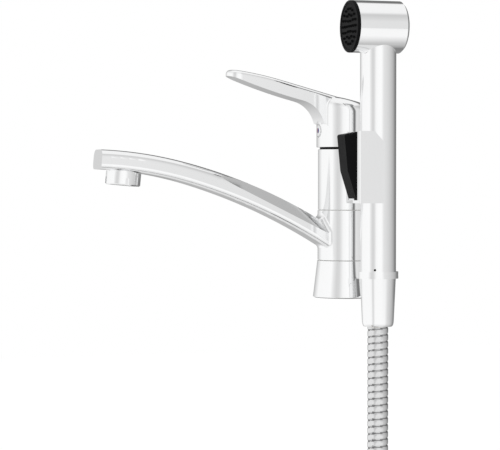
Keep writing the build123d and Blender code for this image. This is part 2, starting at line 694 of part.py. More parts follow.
with BuildPart() as spray_shell:
    with BuildSketch(Plane.XY.offset(tube_bottom)):
        with Locations(spray_axis):
            Circle(TUBE_RADIUS)
    extrude(amount=HEAD_HEIGHT - tube_bottom)
    with BuildSketch(Plane.XY.offset(SPIGOT_END)):
        with Locations(spray_axis):
            Circle(SPIGOT_RADIUS)
    extrude(amount=tube_bottom - SPIGOT_END)
    with BuildSketch(along_x(head_shell_front, HEAD_HEIGHT, SPRAY_Y)):
        Circle(HEAD_RADIUS)
    extrude(amount=HEAD_BACK - head_shell_front)
    back_rim = spray_shell.edges().filter_by(GeomType.CIRCLE).sort_by(Axis.X)[-1]
    chamfer(back_rim, HEAD_EDGE)
    with BuildSketch(spray_side.offset(-TUBE_RADIUS)):
        with BuildLine():
            Polyline(
                (0, HOUSING_BOTTOM),
                (HOUSING_FRONT, HOUSING_BOTTOM),
                (HOUSING_FRONT, HOUSING_TOP),
                (-HOUSING_SHOULDER[0], HOUSING_TOP),
                (0, HOUSING_TOP - HOUSING_SHOULDER[1]),
                close=True,
            )
        make_face()
    extrude(amount=2 * TUBE_RADIUS)
    upright_edges = spray_shell.edges().filter_by(Axis.Z)
    block_edges = upright_edges.filter_by(lambda e: e.center().X < HOUSING_FRONT + RUNNING_GAP)
    fillet(block_edges, 1.2)
    with BuildSketch(Plane.XY.offset(HOUSING_BOTTOM)):
        with Locations((HOUSING_FRONT - LIP_LENGTH / 2 + 1, SPRAY_Y)):
            Rectangle(LIP_LENGTH + 2, LIP_WIDTH)
    extrude(amount=LIP_HEIGHT)
    with BuildSketch(Plane.XY.offset(HOUSING_BOTTOM + LIP_HEIGHT)):
        with Locations((HOUSING_FRONT + POCKET_DEPTH / 2 - 1, SPRAY_Y)):
            Rectangle(POCKET_DEPTH + 2, POCKET_WIDTH)
    extrude(amount=HOUSING_TOP - HOUSING_BOTTOM - LIP_HEIGHT, mode=Mode.SUBTRACT)
    with BuildSketch(Plane.XY.offset(SPIGOT_END)):
        with Locations(spray_axis):
            Circle(SPIGOT_BORE)
    extrude(amount=tube_bottom + TUBE_WALL - SPIGOT_END, mode=Mode.SUBTRACT)
    with BuildSketch(Plane.XY.offset(tube_bottom + TUBE_WALL)):
        with Locations(spray_axis):
            Circle(tube_bore)
    extrude(amount=VALVE_HEIGHT - WEB_HALF_HEIGHT - tube_bottom - TUBE_WALL, mode=Mode.SUBTRACT)
    with BuildSketch(Plane.XY.offset(VALVE_HEIGHT + WEB_HALF_HEIGHT)):
        with Locations((0, SPRAY_Y)):
            Circle(tube_bore)
            with Locations((pocket_back - tube_bore, 0)):
                Rectangle(2 * tube_bore - 2 * TUBE_WALL, 4 * tube_bore, mode=Mode.SUBTRACT)
    extrude(amount=HOUSING_TOP - VALVE_HEIGHT - WEB_HALF_HEIGHT + TUBE_WALL, mode=Mode.SUBTRACT)
    with BuildSketch(Plane.XY.offset(HOUSING_TOP + TUBE_WALL)):
        with Locations(spray_axis):
            Circle(tube_bore)
    extrude(amount=HEAD_HEIGHT - HOUSING_TOP - TUBE_WALL, mode=Mode.SUBTRACT)
    with BuildSketch(along_x(head_shell_front, HEAD_HEIGHT, SPRAY_Y)):
        Circle(HEAD_RADIUS - HEAD_WALL)
    extrude(amount=HEAD_BACK - head_shell_front - HEAD_WALL, mode=Mode.SUBTRACT)
    with BuildSketch(along_x(pocket_back, VALVE_HEIGHT, SPRAY_Y)):
        Circle(VALVE_RADIUS)
    extrude(amount=VALVE_END - pocket_back, mode=Mode.SUBTRACT)
    with Locations((5.0, SPRAY_Y, VALVE_HEIGHT)):
        Cylinder(
            PORT_RADIUS, WEB_HALF_HEIGHT, align=(Align.CENTER, Align.CENTER, Align.MAX), mode=Mode.SUBTRACT
        )
    with Locations((-1.0, SPRAY_Y, VALVE_HEIGHT)):
        Cylinder(
            PORT_RADIUS, WEB_HALF_HEIGHT, align=(Align.CENTER, Align.CENTER, Align.MIN), mode=Mode.SUBTRACT
        )
    with BuildSketch(spray_side.offset(PIN_END_WALL - TUBE_RADIUS)):
        with Locations(TRIGGER_PIVOT):
            Circle(TRIGGER_PIN_RADIUS)
    extrude(amount=2 * (TUBE_RADIUS - PIN_END_WALL), mode=Mode.SUBTRACT)
    screw_bearing = radians(COLLAR_SCREW_BEARING)
    screw_way = (cos(screw_bearing), sin(screw_bearing), 0)
    screw_plane = Plane(
        origin=(
            (TUBE_RADIUS - TUBE_WALL) * screw_way[0],
            SPRAY_Y + (TUBE_RADIUS - TUBE_WALL) * screw_way[1],
            COLLAR_SCREW_HEIGHT,
        ),
        z_dir=screw_way,
    )
    with BuildSketch(screw_plane):
        Circle(COLLAR_SCREW_RADIUS)
    extrude(amount=TUBE_WALL + 1, mode=Mode.SUBTRACT)
finish(spray_shell.part, "spray_shell")

with BuildPart() as collar_screw:
    with BuildSketch(screw_plane):
        Circle(COLLAR_SCREW_RADIUS - 0.05)
    extrude(amount=TUBE_WALL - 0.4)
finish(collar_screw.part, "collar_screw")

collar_bore = SPIGOT_RADIUS + RUNNING_GAP
finish(ring(COLLAR_RING_RADIUS, collar_bore, COLLAR_RING_BOTTOM, tube_bottom, spray_axis), "spray_collar")

with BuildPart() as face_rim:
    with BuildSketch(along_x(HEAD_FRONT, HEAD_HEIGHT, SPRAY_Y)):
        Circle(HEAD_RADIUS)
        Circle(HEAD_RADIUS - FACE_RIM_WALL, mode=Mode.SUBTRACT)
    extrude(amount=FACE_RIM_DEPTH)
    fillet(face_rim.edges().filter_by(GeomType.CIRCLE).group_by(Axis.X)[0], 0.6)
    with BuildSketch(along_x(head_shell_front, HEAD_HEIGHT, SPRAY_Y)):
        Circle(HEAD_RADIUS - HEAD_WALL - RUNNING_GAP)
        Circle(HEAD_RADIUS - FACE_RIM_WALL - 1.2, mode=Mode.SUBTRACT)
    extrude(amount=FACE_RIM_DEPTH)
finish(face_rim.part, "spray_face_rim")

face_radius = HEAD_RADIUS - FACE_RIM_WALL - RUNNING_GAP
with BuildPart() as spray_face:
    with BuildSketch(along_x(head_shell_front - FACE_THICKNESS, HEAD_HEIGHT, SPRAY_Y)):
        Circle(face_radius)
        Circle(NOZZLE_RADIUS, mode=Mode.SUBTRACT)
        for nozzle_ring in range(1, NOZZLE_RINGS + 1):
            with PolarLocations(nozzle_ring * NOZZLE_RING_STEP, 6 * nozzle_ring):
                Circle(NOZZLE_RADIUS, mode=Mode.SUBTRACT)
    extrude(amount=FACE_THICKNESS)
finish(spray_face.part, "spray_face")

with BuildPart() as flow_plate:
    with BuildSketch(along_x(head_shell_front + FACE_RIM_DEPTH + 0.1, HEAD_HEIGHT, SPRAY_Y)):
        Circle(HEAD_RADIUS - HEAD_WALL - RUNNING_GAP)
        with PolarLocations(9.0, 8):
            Circle(1.6, mode=Mode.SUBTRACT)
    extrude(amount=1.6)
finish(flow_plate.part, "flow_plate")

# ------------------------------------------------------------------ trigger and its valve

with BuildPart() as trigger:
    with BuildSketch(Plane.XZ.offset(-SPRAY_Y - TRIGGER_WIDTH / 2)):
        with BuildLine():
            Polyline(
                (TRIGGER_BACK, TRIGGER_PIVOT[1] + TRIGGER_HEAD_RADIUS),
                TRIGGER_TOP_FRONT,
                TRIGGER_KINK,
                TRIGGER_BOTTOM_FRONT,
                (TRIGGER_BACK, TRIGGER_BOTTOM_FRONT[1]),
                close=True,
            )
        make_face()
    extrude(amount=TRIGGER_WIDTH)
    fillet(trigger.edges().filter_by(Axis.Y).group_by(Axis.X)[0], 1.6)
    front_edges = trigger.faces().filter_by(lambda f: f.normal_at().X < -0.7).edges()
    chamfer(front_edges.filter_by(lambda e: abs(e.center().Y - SPRAY_Y) > TRIGGER_WIDTH / 2 - 0.1), 1.2)
    with BuildSketch(Plane.XZ.offset(-SPRAY_Y - TRIGGER_WIDTH / 2)):
        with BuildLine():
            lug_top = TRIGGER_PIVOT[1] + TRIGGER_HEAD_RADIUS
            lug_bottom = TRIGGER_PIVOT[1] - TRIGGER_HEAD_RADIUS
            ThreePointArc(
                (TRIGGER_PIVOT[0], lug_bottom),
                (TRIGGER_PIVOT[0] + TRIGGER_HEAD_RADIUS, TRIGGER_PIVOT[1]),
                (TRIGGER_PIVOT[0], lug_top),
            )
            Polyline(
                (TRIGGER_PIVOT[0], lug_top),
                (TRIGGER_BACK - 1, lug_top),
                (TRIGGER_BACK - 1, lug_bottom),
                (TRIGGER_PIVOT[0], lug_bottom),
            )
        make_face()
    extrude(amount=TRIGGER_WIDTH)
    with BuildSketch(Plane.XZ.offset(-SPRAY_Y - TRIGGER_WIDTH / 2)):
        with Locations(TRIGGER_PIVOT):
            Circle(TRIGGER_PIN_RADIUS + 0.08)
    extrude(amount=TRIGGER_WIDTH, mode=Mode.SUBTRACT)
finish(trigger.part, "trigger")

with BuildPart() as trigger_pin:
    with BuildSketch(spray_side.offset(PIN_END_WALL + RUNNING_GAP - TUBE_RADIUS)):
        with Locations(TRIGGER_PIVOT):
            Circle(TRIGGER_PIN_RADIUS)
    extrude(amount=2 * (TUBE_RADIUS - PIN_END_WALL - RUNNING_GAP))
finish(trigger_pin.part, "trigger_pin")

plunger_tip = TRIGGER_BACK + 0.3
seal_front = pocket_back + GLAND_LENGTH + LOOSE_GAP
with BuildPart() as plunger:
    with BuildSketch(along_x(plunger_tip, VALVE_HEIGHT, SPRAY_Y)):
        Circle(PLUNGER_RADIUS)
    extrude(amount=seal_front - plunger_tip)
    with BuildSketch(along_x(seal_front, VALVE_HEIGHT, SPRAY_Y)):
        Circle(VALVE_RADIUS - 1.0)
    extrude(amount=1.2)
finish(plunger.part, "valve_plunger")

with BuildPart() as plunger_seal:
    with BuildSketch(along_x(seal_front + 1.2, VALVE_HEIGHT, SPRAY_Y)):
        Circle(VALVE_RADIUS - 0.4)
    extrude(amount=1.4)
finish(plunger_seal.part, "valve_seal")

with BuildPart() as gland:
    with BuildSketch(along_x(pocket_back, VALVE_HEIGHT, SPRAY_Y)):
        Circle(VALVE_RADIUS - 0.05)
        Circle(PLUNGER_RADIUS + RUNNING_GAP, mode=Mode.SUBTRACT)
    extrude(amount=GLAND_LENGTH)
finish(gland.part, "valve_gland")

# ------------------------------------------------------------------ hose end under the spray

flange_top = SPIGOT_END - WASHER_HEIGHT - 0.1
flange_bottom = flange_top - FERRULE_FLANGE_HEIGHT
nut_step = flange_bottom - 0.2
nut_bore = SPIGOT_RADIUS + RUNNING_GAP
with BuildPart() as cone_nut:
    with BuildSketch(Plane.XZ):
        with BuildLine():
            Polyline(
                (nut_bore, COLLAR_RING_BOTTOM - RUNNING_GAP),
                (CONE_TOP_RADIUS, COLLAR_RING_BOTTOM - RUNNING_GAP),
                CONE_WAIST,
            )
            Spline(CONE_WAIST, (CONE_MOUTH_RADIUS, CONE_BOTTOM), tangents=((-0.05, -1), (-0.7, -0.7)))
            Polyline(
                (CONE_MOUTH_RADIUS, CONE_BOTTOM),
                (FERRULE_RADIUS + RUNNING_GAP * 2, CONE_BOTTOM),
                (FERRULE_RADIUS + RUNNING_GAP * 2, nut_step),
                (nut_bore, nut_step),
                (nut_bore, COLLAR_RING_BOTTOM - RUNNING_GAP),
            )
        make_face()
    revolve(axis=Axis.Z)
cone_nut_part = Pos(0, SPRAY_Y, 0) * cone_nut.part
finish(cone_nut_part, "hose_cone_nut")

finish(ring(SPIGOT_RADIUS - 0.2, 6.0, SPIGOT_END - WASHER_HEIGHT, SPIGOT_END, spray_axis), "hose_washer")

with BuildPart() as hose_ferrule:
    with BuildSketch(Plane.XY.offset(hose_top)):
        with Locations(spray_axis):
            Circle(FERRULE_RADIUS)
    extrude(amount=flange_top - hose_top)
    with BuildSketch(Plane.XY.offset(flange_bottom)):
        with Locations(spray_axis):
            Circle(SPIGOT_RADIUS - 0.2)
    extrude(amount=FERRULE_FLANGE_HEIGHT)
    with BuildSketch(Plane.XY.offset(hose_top)):
        with Locations(spray_axis):
            Circle(HOSE_BORE / 2)
    extrude(amount=flange_top - hose_top, mode=Mode.SUBTRACT)
finish(hose_ferrule.part, "hose_ferrule")

# ------------------------------------------------------------------ hose

with BuildPart() as hose_drop:
    for rib in range(RIB_COUNT):
        rib_top = hose_top - rib * RIB_PITCH
        groove_radius = hose_radius - RIB_DEPTH
        rib_circles = (
            (0.0, groove_radius),
            (0.22, hose_radius),
            (0.78, hose_radius),
            (1.0, groove_radius),
        )
        for share, circle_radius in rib_circles:
            with BuildSketch(Plane(origin=(0, SPRAY_Y, rib_top - share * RIB_PITCH), x_dir=(1, 0, 0))):
                Circle(circle_radius)
        loft(ruled=True)
    with BuildSketch(Plane.XY.offset(hose_drop_bottom)):
        with Locations(spray_axis):
            Circle(HOSE_BORE / 2)
    extrude(amount=hose_top - hose_drop_bottom, mode=Mode.SUBTRACT)
finish(hose_drop.part, "hose_drop")


def coil_point(turns):
    """A point on the coil's centre line, after so many turns from where the straight drop ends."""
    angle = -2 * pi * turns
    last_half = 2 * max(0.0, turns - COIL_TURNS + 0.5)
    return Vector(
        coil_centre[0] + COIL_RADIUS * cos(angle),
        SPRAY_Y - COIL_PITCH * turns - COIL_END_SHIFT * last_half**2,
        coil_centre[1] + COIL_RADIUS * sin(angle),
    )


def coil_way(turns):
    """The direction of the coil's centre line there. The pitch eases in, so both ends run flat."""
    angle = -2 * pi * turns
    last_half = 2 * max(0.0, turns - COIL_TURNS + 0.5)
    slope = (COIL_PITCH + COIL_END_SHIFT * 4 * last_half) / (2 * pi * COIL_RADIUS)
    return Vector(sin(angle), -slope, -cos(angle)).normalized()


def biarc(start, start_way, end, end_way):
    """Two tangent arcs from start to end. Returns the point where they meet and the way there."""
    across = end - start
    ways = start_way + end_way
    spread = 2 * (1 - start_way.dot(end_way))
    reach = (-across.dot(ways) + sqrt(across.dot(ways) ** 2 + spread * across.dot(across))) / spread
    first = start + start_way * reach
    second = end - end_way * reach
    return (first + second) * 0.5, (second - first).normalized()


coil_steps = round(COIL_TURNS * COIL_STEPS_PER_TURN)
coil_knots = [step / COIL_STEPS_PER_TURN for step in range(coil_steps + 1)]
coil_ways = [coil_way(turns) for turns in coil_knots]
coil_ways[0] = Vector(0, 0, -1)
coil_ways[-1] = Vector(0, 0, 1)
end_point = coil_point(COIL_TURNS) + Vector(0, 0, COIL_END_RUN)
with BuildPart() as hose_coil:
    with BuildLine() as coil_line:
        for knot in range(coil_steps):
            start, end = coil_point(coil_knots[knot]), coil_point(coil_knots[knot + 1])
            middle, middle_way = biarc(start, coil_ways[knot], end, coil_ways[knot + 1])
            TangentArc(start, middle, tangent=coil_ways[knot])
            TangentArc(middle, end, tangent=middle_way)
        Line(coil_point(COIL_TURNS), end_point)
    with BuildSketch(Plane(origin=coil_point(0), x_dir=(1, 0, 0), z_dir=(0, 0, -1))):
        Circle(hose_radius)
        Circle(HOSE_BORE / 2, mode=Mode.SUBTRACT)
    sweep()
finish(hose_coil.part, "hose_coil")

coil_length = coil_line.wires()[0].length
print(f"hose: drop {hose_top - hose_drop_bottom:.1f} + coil {coil_length:.1f} mm")
coil_section = pi * (hose_radius**2 - (HOSE_BORE / 2) ** 2)
print(f"coil: volume over section times length {hose_coil.part.volume / (coil_section * coil_length):.5f}")
samples = [coil_line.wires()[0] @ (index / 400) for index in range(401)]
apart = int(400 / COIL_TURNS / 2)
least = min(
    (samples[i] - samples[j]).length for i in range(0, 401, 2) for j in range(i + apart, 401)
)
print(f"coil: least gap to itself {least - HOSE_DIAMETER:.2f} mm, radius {COIL_RADIUS} mm all round")

# the tie goes round the turns that lie side by side at the top of the coil
tie_turns = [turns + (360 - TIE_BEARING) / 360 for turns in range(int(COIL_TURNS))]
tie_y = [coil_point(turns).Y for turns in tie_turns]
tie_bearing = radians(TIE_BEARING)
tie_plane = Plane(
    origin=(
        coil_centre[0] + COIL_RADIUS * cos(tie_bearing),
        (tie_y[0] + tie_y[-1]) / 2,
        coil_centre[1] + COIL_RADIUS * sin(tie_bearing),
    ),
    x_dir=(0, 1, 0),
    z_dir=(sin(tie_bearing), 0, -cos(tie_bearing)),
)
tie_span = tie_y[0] - tie_y[-1] + HOSE_DIAMETER + 2 * LOOSE_GAP
tie_depth = HOSE_DIAMETER + 2 * LOOSE_GAP + 1.0
with BuildPart() as hose_tie:
    with BuildSketch(tie_plane.offset(-TIE_WIDTH / 2)):
        SlotOverall(tie_span + 2 * TIE_THICKNESS, tie_depth + 2 * TIE_THICKNESS)
        SlotOverall(tie_span, tie_depth, mode=Mode.SUBTRACT)
    extrude(amount=TIE_WIDTH)
finish(hose_tie.part, "hose_tie")

# the free end: a crimped sleeve and a hexagonal union nut
end_plane = Plane(origin=end_point, x_dir=(1, 0, 0), z_dir=(0, 0, 1))
sleeve_radius = hose_radius + END_SLEEVE_WALL
nut_start = END_SLEEVE_LENGTH * 0.5
neck_length = END_NUT_LENGTH - END_NUT_THREAD_DEPTH - END_RELIEF_HEIGHT + 2 * RUNNING_GAP
with BuildPart() as end_sleeve:
    with BuildSketch(end_plane):
        Circle(sleeve_radius)
    extrude(amount=nut_start)
    with BuildSketch(end_plane.offset(nut_start)):
        Circle(END_NECK_RADIUS)
    extrude(amount=neck_length)
    with BuildSketch(end_plane.offset(nut_start + neck_length)):
        Circle(END_NUT_THREAD_RADIUS - LOOSE_GAP)
    extrude(amount=END_FLANGE_HEIGHT)
    with BuildSketch(end_plane):
        Circle(HOSE_BORE / 2)
    extrude(amount=END_SLEEVE_LENGTH + END_NUT_LENGTH, mode=Mode.SUBTRACT)
finish(end_sleeve.part, "hose_end_sleeve")

with BuildPart() as end_nut:
    with BuildSketch(end_plane.offset(nut_start + RUNNING_GAP)):
        RegularPolygon(END_NUT_ACROSS_FLATS / 2, 6, major_radius=False)
        Circle(END_NECK_RADIUS + RUNNING_GAP, mode=Mode.SUBTRACT)
    extrude(amount=END_NUT_LENGTH)
    with BuildSketch(end_plane.offset(nut_start + RUNNING_GAP + END_NUT_LENGTH)):
        Circle(END_NUT_THREAD_RADIUS)
    extrude(amount=-END_NUT_THREAD_DEPTH, mode=Mode.SUBTRACT)
    with BuildSketch(end_plane.offset(nut_start + neck_length - RUNNING_GAP)):
        Circle(END_RELIEF_RADIUS)
    extrude(amount=END_RELIEF_HEIGHT, mode=Mode.SUBTRACT)
finish(end_nut.part, "hose_end_nut")

# ------------------------------------------------------------------ bracket

plate_bottom = COLLAR_RING_BOTTOM - BRACKET_THICKNESS
hole_radius = CONE_TOP_RADIUS + BRACKET_HOLE_GAP
with BuildPart() as spray_bracket:
    with BuildSketch(Plane.XY.offset(GASKET_HEIGHT)):
        Circle(BRACKET_CLAMP_RADIUS)
        with Locations((BRACKET_X, (BRACKET_LEG_Y - CORE_RADIUS) / 2)):
            Rectangle(BRACKET_WIDTH, -BRACKET_LEG_Y - CORE_RADIUS)
        Circle(CORE_RADIUS + LOOSE_GAP, mode=Mode.SUBTRACT)
    extrude(amount=BRACKET_THICKNESS)
    with BuildSketch(Plane.XY.offset(GASKET_HEIGHT)):
        with Locations((BRACKET_X, BRACKET_LEG_Y - BRACKET_THICKNESS / 2)):
            Rectangle(BRACKET_WIDTH, BRACKET_THICKNESS)
    extrude(amount=COLLAR_RING_BOTTOM - GASKET_HEIGHT)
    with BuildSketch(Plane.XY.offset(plate_bottom)):
        with Locations(spray_axis):
            Circle(hole_radius + BRACKET_RING_WALL)
        with Locations((BRACKET_X, (BRACKET_LEG_Y + SPRAY_Y) / 2)):
            Rectangle(BRACKET_WIDTH, BRACKET_LEG_Y - SPRAY_Y)
        with Locations(spray_axis):
            Circle(hole_radius, mode=Mode.SUBTRACT)
    extrude(amount=BRACKET_THICKNESS)
finish(spray_bracket.part, "spray_bracket")
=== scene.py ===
"""A single-lever kitchen tap with a hand spray standing beside it, dressed for a studio picture."""

import json
from math import atan2, cos, radians, sin, tau

import bmesh
import bpy
from bpy.props import FloatProperty, FloatVectorProperty, IntProperty, PointerProperty
from bpy.types import Operator, Panel, PropertyGroup
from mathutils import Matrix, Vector


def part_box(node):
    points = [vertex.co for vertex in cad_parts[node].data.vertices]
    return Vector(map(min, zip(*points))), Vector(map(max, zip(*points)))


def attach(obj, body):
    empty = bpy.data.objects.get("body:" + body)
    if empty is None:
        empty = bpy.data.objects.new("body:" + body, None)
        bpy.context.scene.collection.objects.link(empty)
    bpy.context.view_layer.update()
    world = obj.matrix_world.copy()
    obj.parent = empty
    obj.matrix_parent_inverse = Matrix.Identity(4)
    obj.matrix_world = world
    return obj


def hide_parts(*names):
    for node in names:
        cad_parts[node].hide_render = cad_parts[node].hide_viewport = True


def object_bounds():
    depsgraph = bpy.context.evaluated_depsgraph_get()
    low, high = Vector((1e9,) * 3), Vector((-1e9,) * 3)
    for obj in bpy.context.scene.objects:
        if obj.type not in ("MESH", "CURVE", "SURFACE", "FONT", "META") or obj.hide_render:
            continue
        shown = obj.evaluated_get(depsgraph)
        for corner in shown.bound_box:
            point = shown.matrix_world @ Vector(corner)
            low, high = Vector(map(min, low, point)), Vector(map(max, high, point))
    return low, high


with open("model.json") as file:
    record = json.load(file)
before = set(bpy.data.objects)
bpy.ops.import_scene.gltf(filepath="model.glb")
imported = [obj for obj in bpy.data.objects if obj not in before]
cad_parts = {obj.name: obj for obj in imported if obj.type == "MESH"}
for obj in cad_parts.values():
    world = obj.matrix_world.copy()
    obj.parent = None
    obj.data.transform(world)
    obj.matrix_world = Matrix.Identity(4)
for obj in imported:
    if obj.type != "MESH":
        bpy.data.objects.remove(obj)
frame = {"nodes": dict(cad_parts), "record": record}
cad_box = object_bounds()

bl_info = {
    "name": "Side spray kitchen tap",
    "version": (1, 0, 0),
    "blender": (4, 5, 0),
    "location": "View3D > Sidebar > Tap",
    "description": "Dresses the tap and its hand spray: plating, plastics, hose, nozzles and studio",
    "category": "Object",
}

# ------------------------------------------------------------------ places read from the frame

face_low, face_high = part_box("spray_face")
drop_low, drop_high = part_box("hose_drop")
tie_low, tie_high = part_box("hose_tie")
mark_low, mark_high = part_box("temperature_mark")

hose_exit = ((drop_low + drop_high) / 2).to_2d().to_3d() + Vector((0, 0, drop_high.z))
mark_centre = (mark_low + mark_high) / 2

# ------------------------------------------------------------------ small sizes, in metres or as shares

GRAIN_DEPTH = 0.0001
MARK_DOT_RADIUS = 0.0021
MARK_LINE_INSIDE = 0.0044
MARK_LINE_OUTSIDE = 0.0048
MARK_COLD_EDGE = 0.001
DROP_SHARES = (0.08, 0.25, 0.5, 0.75)
END_RUN_MIDDLE = 0.6
LAST_STEP_SHARE = 0.3
GROOVE_HALF_WIDTH = 0.2
RIB_ROUNDNESS = 0.5
STRAP_WALL = 0.0011
STRAP_EDGE = 0.0003
STRAP_PLAY = 0.0001
NOZZLE_TIP_SHARE = 0.72
NOZZLE_BORE_SHARE = 0.7
NOZZLE_FOOT_SUNK = 0.0002

# ------------------------------------------------------------------ settings


def colour(name, description, default):
    """A colour that the user can pick."""
    return FloatVectorProperty(
        name=name, description=description, default=default, size=3, min=0, max=1, subtype="COLOR"
    )


def length(name, description, default):
    """A length in metres that the user can set."""
    return FloatProperty(
        name=name, description=description, default=default, min=0, unit="LENGTH", precision=5
    )


class TapFinishes(PropertyGroup):
    """Colours of the tap's plated, moulded and turned surfaces."""

    plating: colour("Plating", "Chrome plate on the tap and the spray", (0.95, 0.953, 0.956))
    hose_metal: colour("Hose metal", "Spiral-wound strip of the hose", (0.77, 0.773, 0.776))
    # Painted shade: a dark grey for the hose's groove faces, standing in for the shade deep in the narrow
    # groove.
    painted_groove_shade: colour("Hose groove painted shade", "Shaded groove between the hose's ribs", (0.26, 0.26, 0.263))
    brass: colour("Brass", "Turned nuts and sleeves", (0.72, 0.53, 0.26))
    steel: colour("Steel", "Pins, screws and the strip under the foot", (0.62, 0.62, 0.63))
    black: colour("Black plastic", "Trigger, spray face and dark ring", (0.005, 0.005, 0.0055))
    rubber: colour("Rubber", "Gaskets, washers and strap", (0.02, 0.02, 0.02))
    white: colour("White plastic", "Cartridge and inserts", (0.8, 0.8, 0.78))
    ceramic: colour("Ceramic", "Cartridge discs", (0.85, 0.83, 0.78))
    cold: colour("Cold dot", "Cold half of the mark's dot", (0.012, 0.016, 0.2))
    hot: colour("Hot dot", "Hot half of the mark's dot", (0.5, 0.012, 0.012))


class TapHose(PropertyGroup):
    """Sizes of the spray's hose."""

    real_length: length("Length", "Hose from the spray's cone to its union nut", 1.5)
    diameter: length("Diameter", "Hose across its ribs", 0.0156)
    rib_depth: length("Rib depth", "Depth of the spiral groove", 0.0011)
    # Faces lower than this share of the rib height get the painted groove shade.
    painted_shade_share: FloatProperty(
        name="Groove", description="Ribs lower than this share of their height are groove", default=0.6
    )
    rib_pitch: length("Rib pitch", "Distance from groove to groove", 0.0052)
    coil_radius: length("Coil radius", "Centre line of the wound turns", 0.0806)
    coil_pitch: length("Coil pitch", "Sideways step of one turn", 0.0164)
    coil_end_shift: length("Coil end shift", "Extra sideways step of the last half turn", 0.0064)
    end_run: length("End run", "Straight hose between the turns and the union nut", 0.0312)
    coil_turns: FloatProperty(name="Turns", description="Turns of the wound length", default=2.5, min=1)
    points_per_turn: IntProperty(
        name="Points a turn", description="Route points of a turn", default=12, min=12
    )
    sides: IntProperty(name="Sides", description="Facets round the hose", default=22, min=8)
    rings_per_pitch: IntProperty(
        name="Rings a rib", description="Rings from groove to groove", default=8, min=3
    )


class TapSprayFace(PropertyGroup):
    """Sizes of the nozzles in the spray's black face."""

    nozzle_radius: length("Nozzle radius", "Foot of one soft nozzle", 0.0011)
    nozzle_height: length("Nozzle height", "How far a nozzle stands out of the face", 0.0011)
    bore_radius: length("Bore radius", "Hole in a nozzle's tip", 0.00045)
    inner_ring: length("Inner ring", "Radius of the first ring of nozzles", 0.0044)
    middle_ring: length("Middle ring", "Radius of the second ring of nozzles", 0.0088)
    outer_ring: length("Outer ring", "Radius of the third ring of nozzles", 0.0132)


class TapStudio(PropertyGroup):
    """Camera and light of the picture."""

    azimuth: FloatProperty(
        name="Azimuth", description="Turn from the tap's side", default=radians(18), subtype="ANGLE"
    )
    elevation: FloatProperty(
        name="Elevation", description="Height of view", default=radians(1.3), subtype="ANGLE"
    )
    eye: FloatVectorProperty(
        name="Camera place",
        description="Where the camera stands",
        default=(-0.5651, -1.4969, 0.0924),
        subtype="XYZ",
    )
    focal_length: FloatProperty(
        name="Focal length", description="Lens, in millimetres", default=147.7, min=10
    )
    floor_gap: length("Floor gap", "Space between the hose's lowest turn and the floor", 0.004)
    fill: FloatProperty(
        name="Fill", description="Strength of the light from all round", default=0.75, min=0
    )


def settings():
    """The scene's settings, by group."""
    scene = bpy.context.scene
    return scene.tap_finishes, scene.tap_hose, scene.tap_spray_face, scene.tap_studio


# ------------------------------------------------------------------ finishes


def surface_group():
    """Uneven gloss and fine relief, shared by every finish."""
    name = "Fine surface"
    if name in bpy.data.node_groups:
        return bpy.data.node_groups[name]
    group = bpy.data.node_groups.new(name, "ShaderNodeTree")
    for socket, default in (("Scale", 60.0), ("Roughness", 0.1), ("Spread", 0.03), ("Tint", 0.03)):
        made = group.interface.new_socket(name=socket, in_out="INPUT", socket_type="NodeSocketFloat")
        made.default_value = default
    group.interface.new_socket(name="Colour", in_out="INPUT", socket_type="NodeSocketColor")
    for socket, kind in (("Colour", "Color"), ("Roughness", "Float"), ("Height", "Float")):
        group.interface.new_socket(name=socket, in_out="OUTPUT", socket_type=f"NodeSocket{kind}")
    nodes, link = group.nodes, group.links.new
    given = nodes.new("NodeGroupInput")
    put = nodes.new("NodeGroupOutput")
    place = nodes.new("ShaderNodeTexCoord")
    cloud = nodes.new("ShaderNodeTexNoise")
    cloud.inputs["Detail"].default_value = 4
    grain = nodes.new("ShaderNodeTexNoise")
    grain.inputs["Detail"].default_value = 2
    finer = nodes.new("ShaderNodeMath")
    finer.operation = "MULTIPLY"
    finer.inputs[1].default_value = 18
    link(place.outputs["Object"], cloud.inputs["Vector"])
    link(place.outputs["Object"], grain.inputs["Vector"])
    link(given.outputs["Scale"], cloud.inputs["Scale"])
    link(given.outputs["Scale"], finer.inputs[0])
    link(finer.outputs[0], grain.inputs["Scale"])
    rough = nodes.new("ShaderNodeMath")
    rough.operation = "MULTIPLY_ADD"
    link(cloud.outputs["Fac"], rough.inputs[0])
    link(given.outputs["Spread"], rough.inputs[1])
    link(given.outputs["Roughness"], rough.inputs[2])
    shade = nodes.new("ShaderNodeMath")
    shade.operation = "MULTIPLY"
    link(cloud.outputs["Fac"], shade.inputs[0])
    link(given.outputs["Tint"], shade.inputs[1])
    darker = nodes.new("ShaderNodeMix")
    darker.data_type = "RGBA"
    darker.blend_type = "MULTIPLY"
    link(shade.outputs[0], darker.inputs["Factor"])
    link(given.outputs["Colour"], darker.inputs["A"])
    darker.inputs["B"].default_value = (0.4, 0.4, 0.4, 1)
    link(darker.outputs["Result"], put.inputs["Colour"])
    link(rough.outputs[0], put.inputs["Roughness"])
    link(grain.outputs["Fac"], put.inputs["Height"])
    return group


